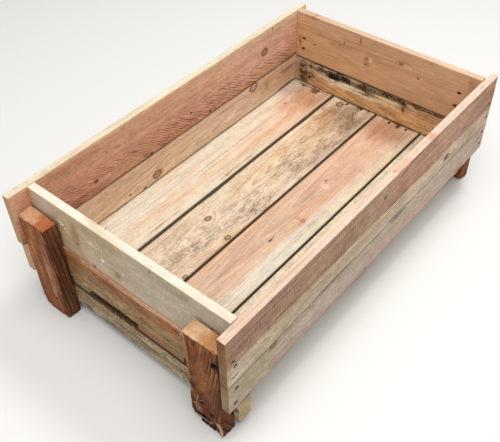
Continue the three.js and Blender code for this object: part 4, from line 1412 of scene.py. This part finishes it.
def build_screw(screw, material):
    """A countersunk wood screw: a dished head, a plain neck and a thread, cut with a drive recess."""
    head, shank = screw.head_radius, screw.shank_radius
    cone = head - shank
    profile = [(0, 0.05 * MM), (head * 0.6, 0.04 * MM), (head * 0.93, 0), (head, 0.15 * MM)]
    profile += [(head * 0.97, 0.4 * MM), (shank, cone + 0.3 * MM)]
    depth = screw.length * 0.35
    profile.append((shank * 0.9, depth))
    tip = screw.length - POINT
    while depth + PITCH < tip:
        profile.append((shank * 0.68, depth + PITCH * 0.25))
        profile.append((shank, depth + PITCH * 0.75))
        depth += PITCH
    profile += [(shank * 0.62, tip), (0, screw.length)]
    piece = lathe(screw.name + "_steel", profile, SCREW_SIDES, screw.head, screw.direction)
    turn = (-screw.direction).to_track_quat("Z", "Y").to_matrix().to_4x4()
    cut(piece, recess_cutters(screw, turn))
    finish_piece(piece, material)
    if screw.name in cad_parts:
        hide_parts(screw.name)


def build_nail(nail, material):
    profile = [
        (0, 0.1), (NAIL["head"] * 0.5, 0.05), (NAIL["head"] * 0.92, 0.0),
        (NAIL["head"], 0.2), (NAIL["head"], NAIL["thick"]), (NAIL["shank"], NAIL["thick"] + 0.1),
        (NAIL["shank"], NAIL["long"] - 4), (0, NAIL["long"]),
    ]
    profile = [(radius * MM, depth * MM) for radius, depth in profile]
    piece = lathe(nail.name, profile, SCREW_SIDES, nail.head, nail.direction)
    finish_piece(piece, material)


# ---------------------------------------------------------------- splinters

@dataclass
class Splinter:
    """A sliver lying on a wide face: where it starts, mm, its face, length, bearing and colour."""
    x: float
    y: float
    side: int
    long: float
    bearing: float                      # degrees from the grain
    colour: str = "#e6cfa6"
    thick: float = 0.9
    lift: float = 1.5                   # how far its free end stands off the wood, mm


# Rows of Splinter's values, by timber.
SPLINTERS = {
    "left_end_upper_board": [
        (188, 12, -1, 22, 62, "#fbeccb", 3.2, 5), (196, 9, -1, 16, 130, "#f6e2b8", 3.0, 6),
        (184, 8, -1, 20, 200, "#f0d8a8", 2.6, 5), (192, 0, -1, 18, -60, "#c89858", 2.6, 5),
        (190, -14, -1, 18, 35, "#e6cfa6", 1.4, 4), (-186, 8, -1, 26, 12, "#f0e8d8", 1.4),
        (-172, 22, -1, 20, -30, "#f0e8d8", 1.2), (84, 20, -1, 18, -25, "#f3ecdf", 1.4),
        (96, 12, -1, 16, 20, "#f3ecdf", 1.4), (74, 26, -1, 12, 60, "#f3ecdf", 1.2),
    ],
    "left_end_lower_board": [
        (4, 18, -1, 30, 24, "#d8b090"), (34, 30, -1, 26, -58, "#d8b090"),
        (-70, 44, -1, 50, 3, "#e8c8a4", 1.2), (120, 42, -1, 40, -5, "#e0b890", 1.2),
        (148, -40, -1, 26, -22, "#e6cfa6", 2.4), (132, -42, -1, 20, -40, "#d8b890", 1.8),
        (62, -41, -1, 16, -75, "#8a5a34", 1.6), (44, -42, -1, 22, -160, "#6a4426", 2.0),
        (20, -41, -1, 24, -18, "#7a4c2a", 2.2), (4, -42, -1, 16, -60, "#c07a44", 1.6),
        (-8, -42, -1, 20, -160, "#a86838", 2.2), (-22, -41, -1, 14, -95, "#d08a54", 1.6),
        (-34, -42, -1, 18, -30, "#b87040", 2.0), (-48, -41, -1, 14, -110, "#c88450", 1.6),
        (-60, -42, -1, 16, -50, "#d89a64", 1.8), (-74, -42, -1, 14, -120, "#b06c3c", 1.6),
        (-90, -42, -1, 15, -65, "#cc8c58", 1.6), (-108, -42, -1, 13, -110, "#b87848", 1.6),
        (-126, -42, -1, 14, -70, "#c48a5c", 1.6),
    ],
    "front_left_leg": [
        (-131, 42, 1, 70, -74, "#d8b49c", 2.0, 5.0), (-107, -30, 1, 43, 195, "#c8a184", 15.0, 4.0),
        (-112, -18, 1, 22, 150, "#c8a184", 1.6, 5.0), (-90, 34, 1, 34, -20, "#cfa884", 1.6, 3.0),
        (-104, 20, 1, 30, 8, "#c59a74", 1.6, 3.0), (-64, 16, 1, 26, -35, "#c59a74", 1.4, 3.0),
        (146, 43, 1, 20, 170, "#e6d0a0", 1.6, 4.0), (-60, 30, 1, 34, 12, "#cf9f68"),
        (16, -2, 1, 12, -35, "#e6d0a0", 1.1), (120, 24, 1, 26, 8, "#c99a5e"),
        (-120, -30, 1, 40, 6, "#b98a5c", 1.2),
    ],
    "back_left_leg": [
        (110, -40, 1, 36, 10, "#d9a878"), (128, 30, 1, 20, -20, "#d9a878"), (-60, -41, 1, 40, 4, "#c08a58"),
    ],
    "right_end_lower_board": [
        (165, -6, -1, 44, -60, "#e8cfa0"), (40, 14, -1, 26, 6, "#e6cfa6"), (-40, 12, -1, 34, -5, "#e6cfa6"),
    ],
    "left_bearer": [
        (100, 33, -1, 15, 80, "#a8763f", 3.0), (88, 33, -1, 17, 100, "#6d4a2c", 3.0),
        (74, 33, -1, 18, 70, "#8a6238", 4.0), (60, 33, -1, 16, 95, "#b58a58", 3.0),
        (44, 33, -1, 12, 60, "#7a5230", 3.0), (30, 33, -1, 18, 85, "#a06c3c", 4.0),
        (14, 33, -1, 15, 110, "#8a5a34", 3.0), (0, 33, -1, 18, 75, "#c08450", 3.5),
    ],
    "floor_board_2": [
        (318, 58, 1, 36, 34, "#f0dfc0"), (326, 54, 1, 30, 40, "#f0dfc0"),
    ],
    "back_side_lower_board": [
        (-300, 22, 1, 20, 66, "#ecd6b0"), (-296, 20, 1, 16, -40, "#ecd6b0"),
    ],
}
SPLINTER_STEPS = 10
SPLINTER_THICKEST = 1.6                 # mm
SPLINTER_FIBRES = (300, 900, 900)       # cells per metre
SPLINTER_DARK = "#b58a60"               # what the dark fibres multiply by


def splinter_strip(splinter, half, draw):
    """Points and faces of one tapering, slightly bent sliver with a three-cornered section."""
    angle = math.radians(splinter.bearing)
    heading = Vector((math.cos(angle), math.sin(angle), 0))
    beside = Vector((-heading.y, heading.x, 0))
    out = Vector((0, 0, splinter.side))
    bow = draw.uniform(-0.12, 0.12) * splinter.long
    points = []
    for i in range(SPLINTER_STEPS + 1):
        share = i / SPLINTER_STEPS
        middle = Vector((splinter.x, splinter.y, 0)) + heading * share * splinter.long
        middle += beside * bow * math.sin(math.pi * share)
        middle += out * (half[2] / MM - 0.3 + splinter.lift * share ** 2)
        wide = splinter.thick * (1 - share) ** 0.6 * draw.uniform(0.8, 1.1) + 0.08
        thick = min(wide * 0.6, SPLINTER_THICKEST)
        points += [middle - beside * wide / 2, middle + beside * wide / 2, middle + out * thick]
    faces = [(0, 1, 2)]
    for i in range(SPLINTER_STEPS):
        first = 3 * i
        for j in range(3):
            k = (j + 1) % 3
            faces.append((first + j, first + 3 + j, first + 3 + k, first + k))
    last = 3 * SPLINTER_STEPS
    faces.append((last, last + 2, last + 1))
    return [point * MM for point in points], faces


def splinter_material(name, code):
    graph = Graph(name)
    place = graph.node("ShaderNodeTexCoord").outputs["Object"]
    fibres = graph.noise(graph.stretch(place, SPLINTER_FIBRES), 3.0, 0.6)
    tone = graph.tint(graph.step(fibres, 0.5, 0.7), graph.join(*linear(code)[:3]), SPLINTER_DARK)
    tone = graph.shade(tone, graph.add(0.85, graph.times(fibres, 0.3)))
    return graph.surface(tone, graph.add(0.7, graph.times(fibres, 0.2)), graph.times(fibres, 0.15 * MM))


def build_splinters():
    for timber, rows in SPLINTERS.items():
        matrix, half = timber_frame(timber, TIMBERS[timber].axes)
        draw = random.Random(timber)
        for number, row in enumerate(rows, 1):
            splinter = Splinter(*row)
            points, faces = splinter_strip(splinter, half, draw)
            piece = mesh_object(f"{timber}_splinter_{number}", points, faces)
            shape = bmesh.new()
            shape.from_mesh(piece.data)
            bmesh.ops.recalc_face_normals(shape, faces=shape.faces)
            shape.to_mesh(piece.data)
            shape.free()
            piece.matrix_world = matrix
            bpy.context.view_layer.update()
            finish_piece(piece, splinter_material(piece.name, splinter.colour))


# ---------------------------------------------------------------- the whole planter

def main():
    make_camera()
    make_floor()
    make_light()
    screws = [read_screw(name) for name in sorted(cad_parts) if "_screw_" in name]
    screws += bearer_screws()
    nails = floor_nails()
    for seed, (name, wood) in enumerate(TIMBERS.items(), 1):
        build_timber(name, wood, screws + nails, seed)
    screw_steel = metal_material("screw_steel", "#3f3831", "#2e1f16", 0.5)
    nail_steel = metal_material("nail_steel", "#3f3831", "#33231a", 0.6)
    for screw in screws:
        build_screw(screw, screw_steel)
    for nail in nails:
        build_nail(nail, nail_steel)
    build_splinters()


main()
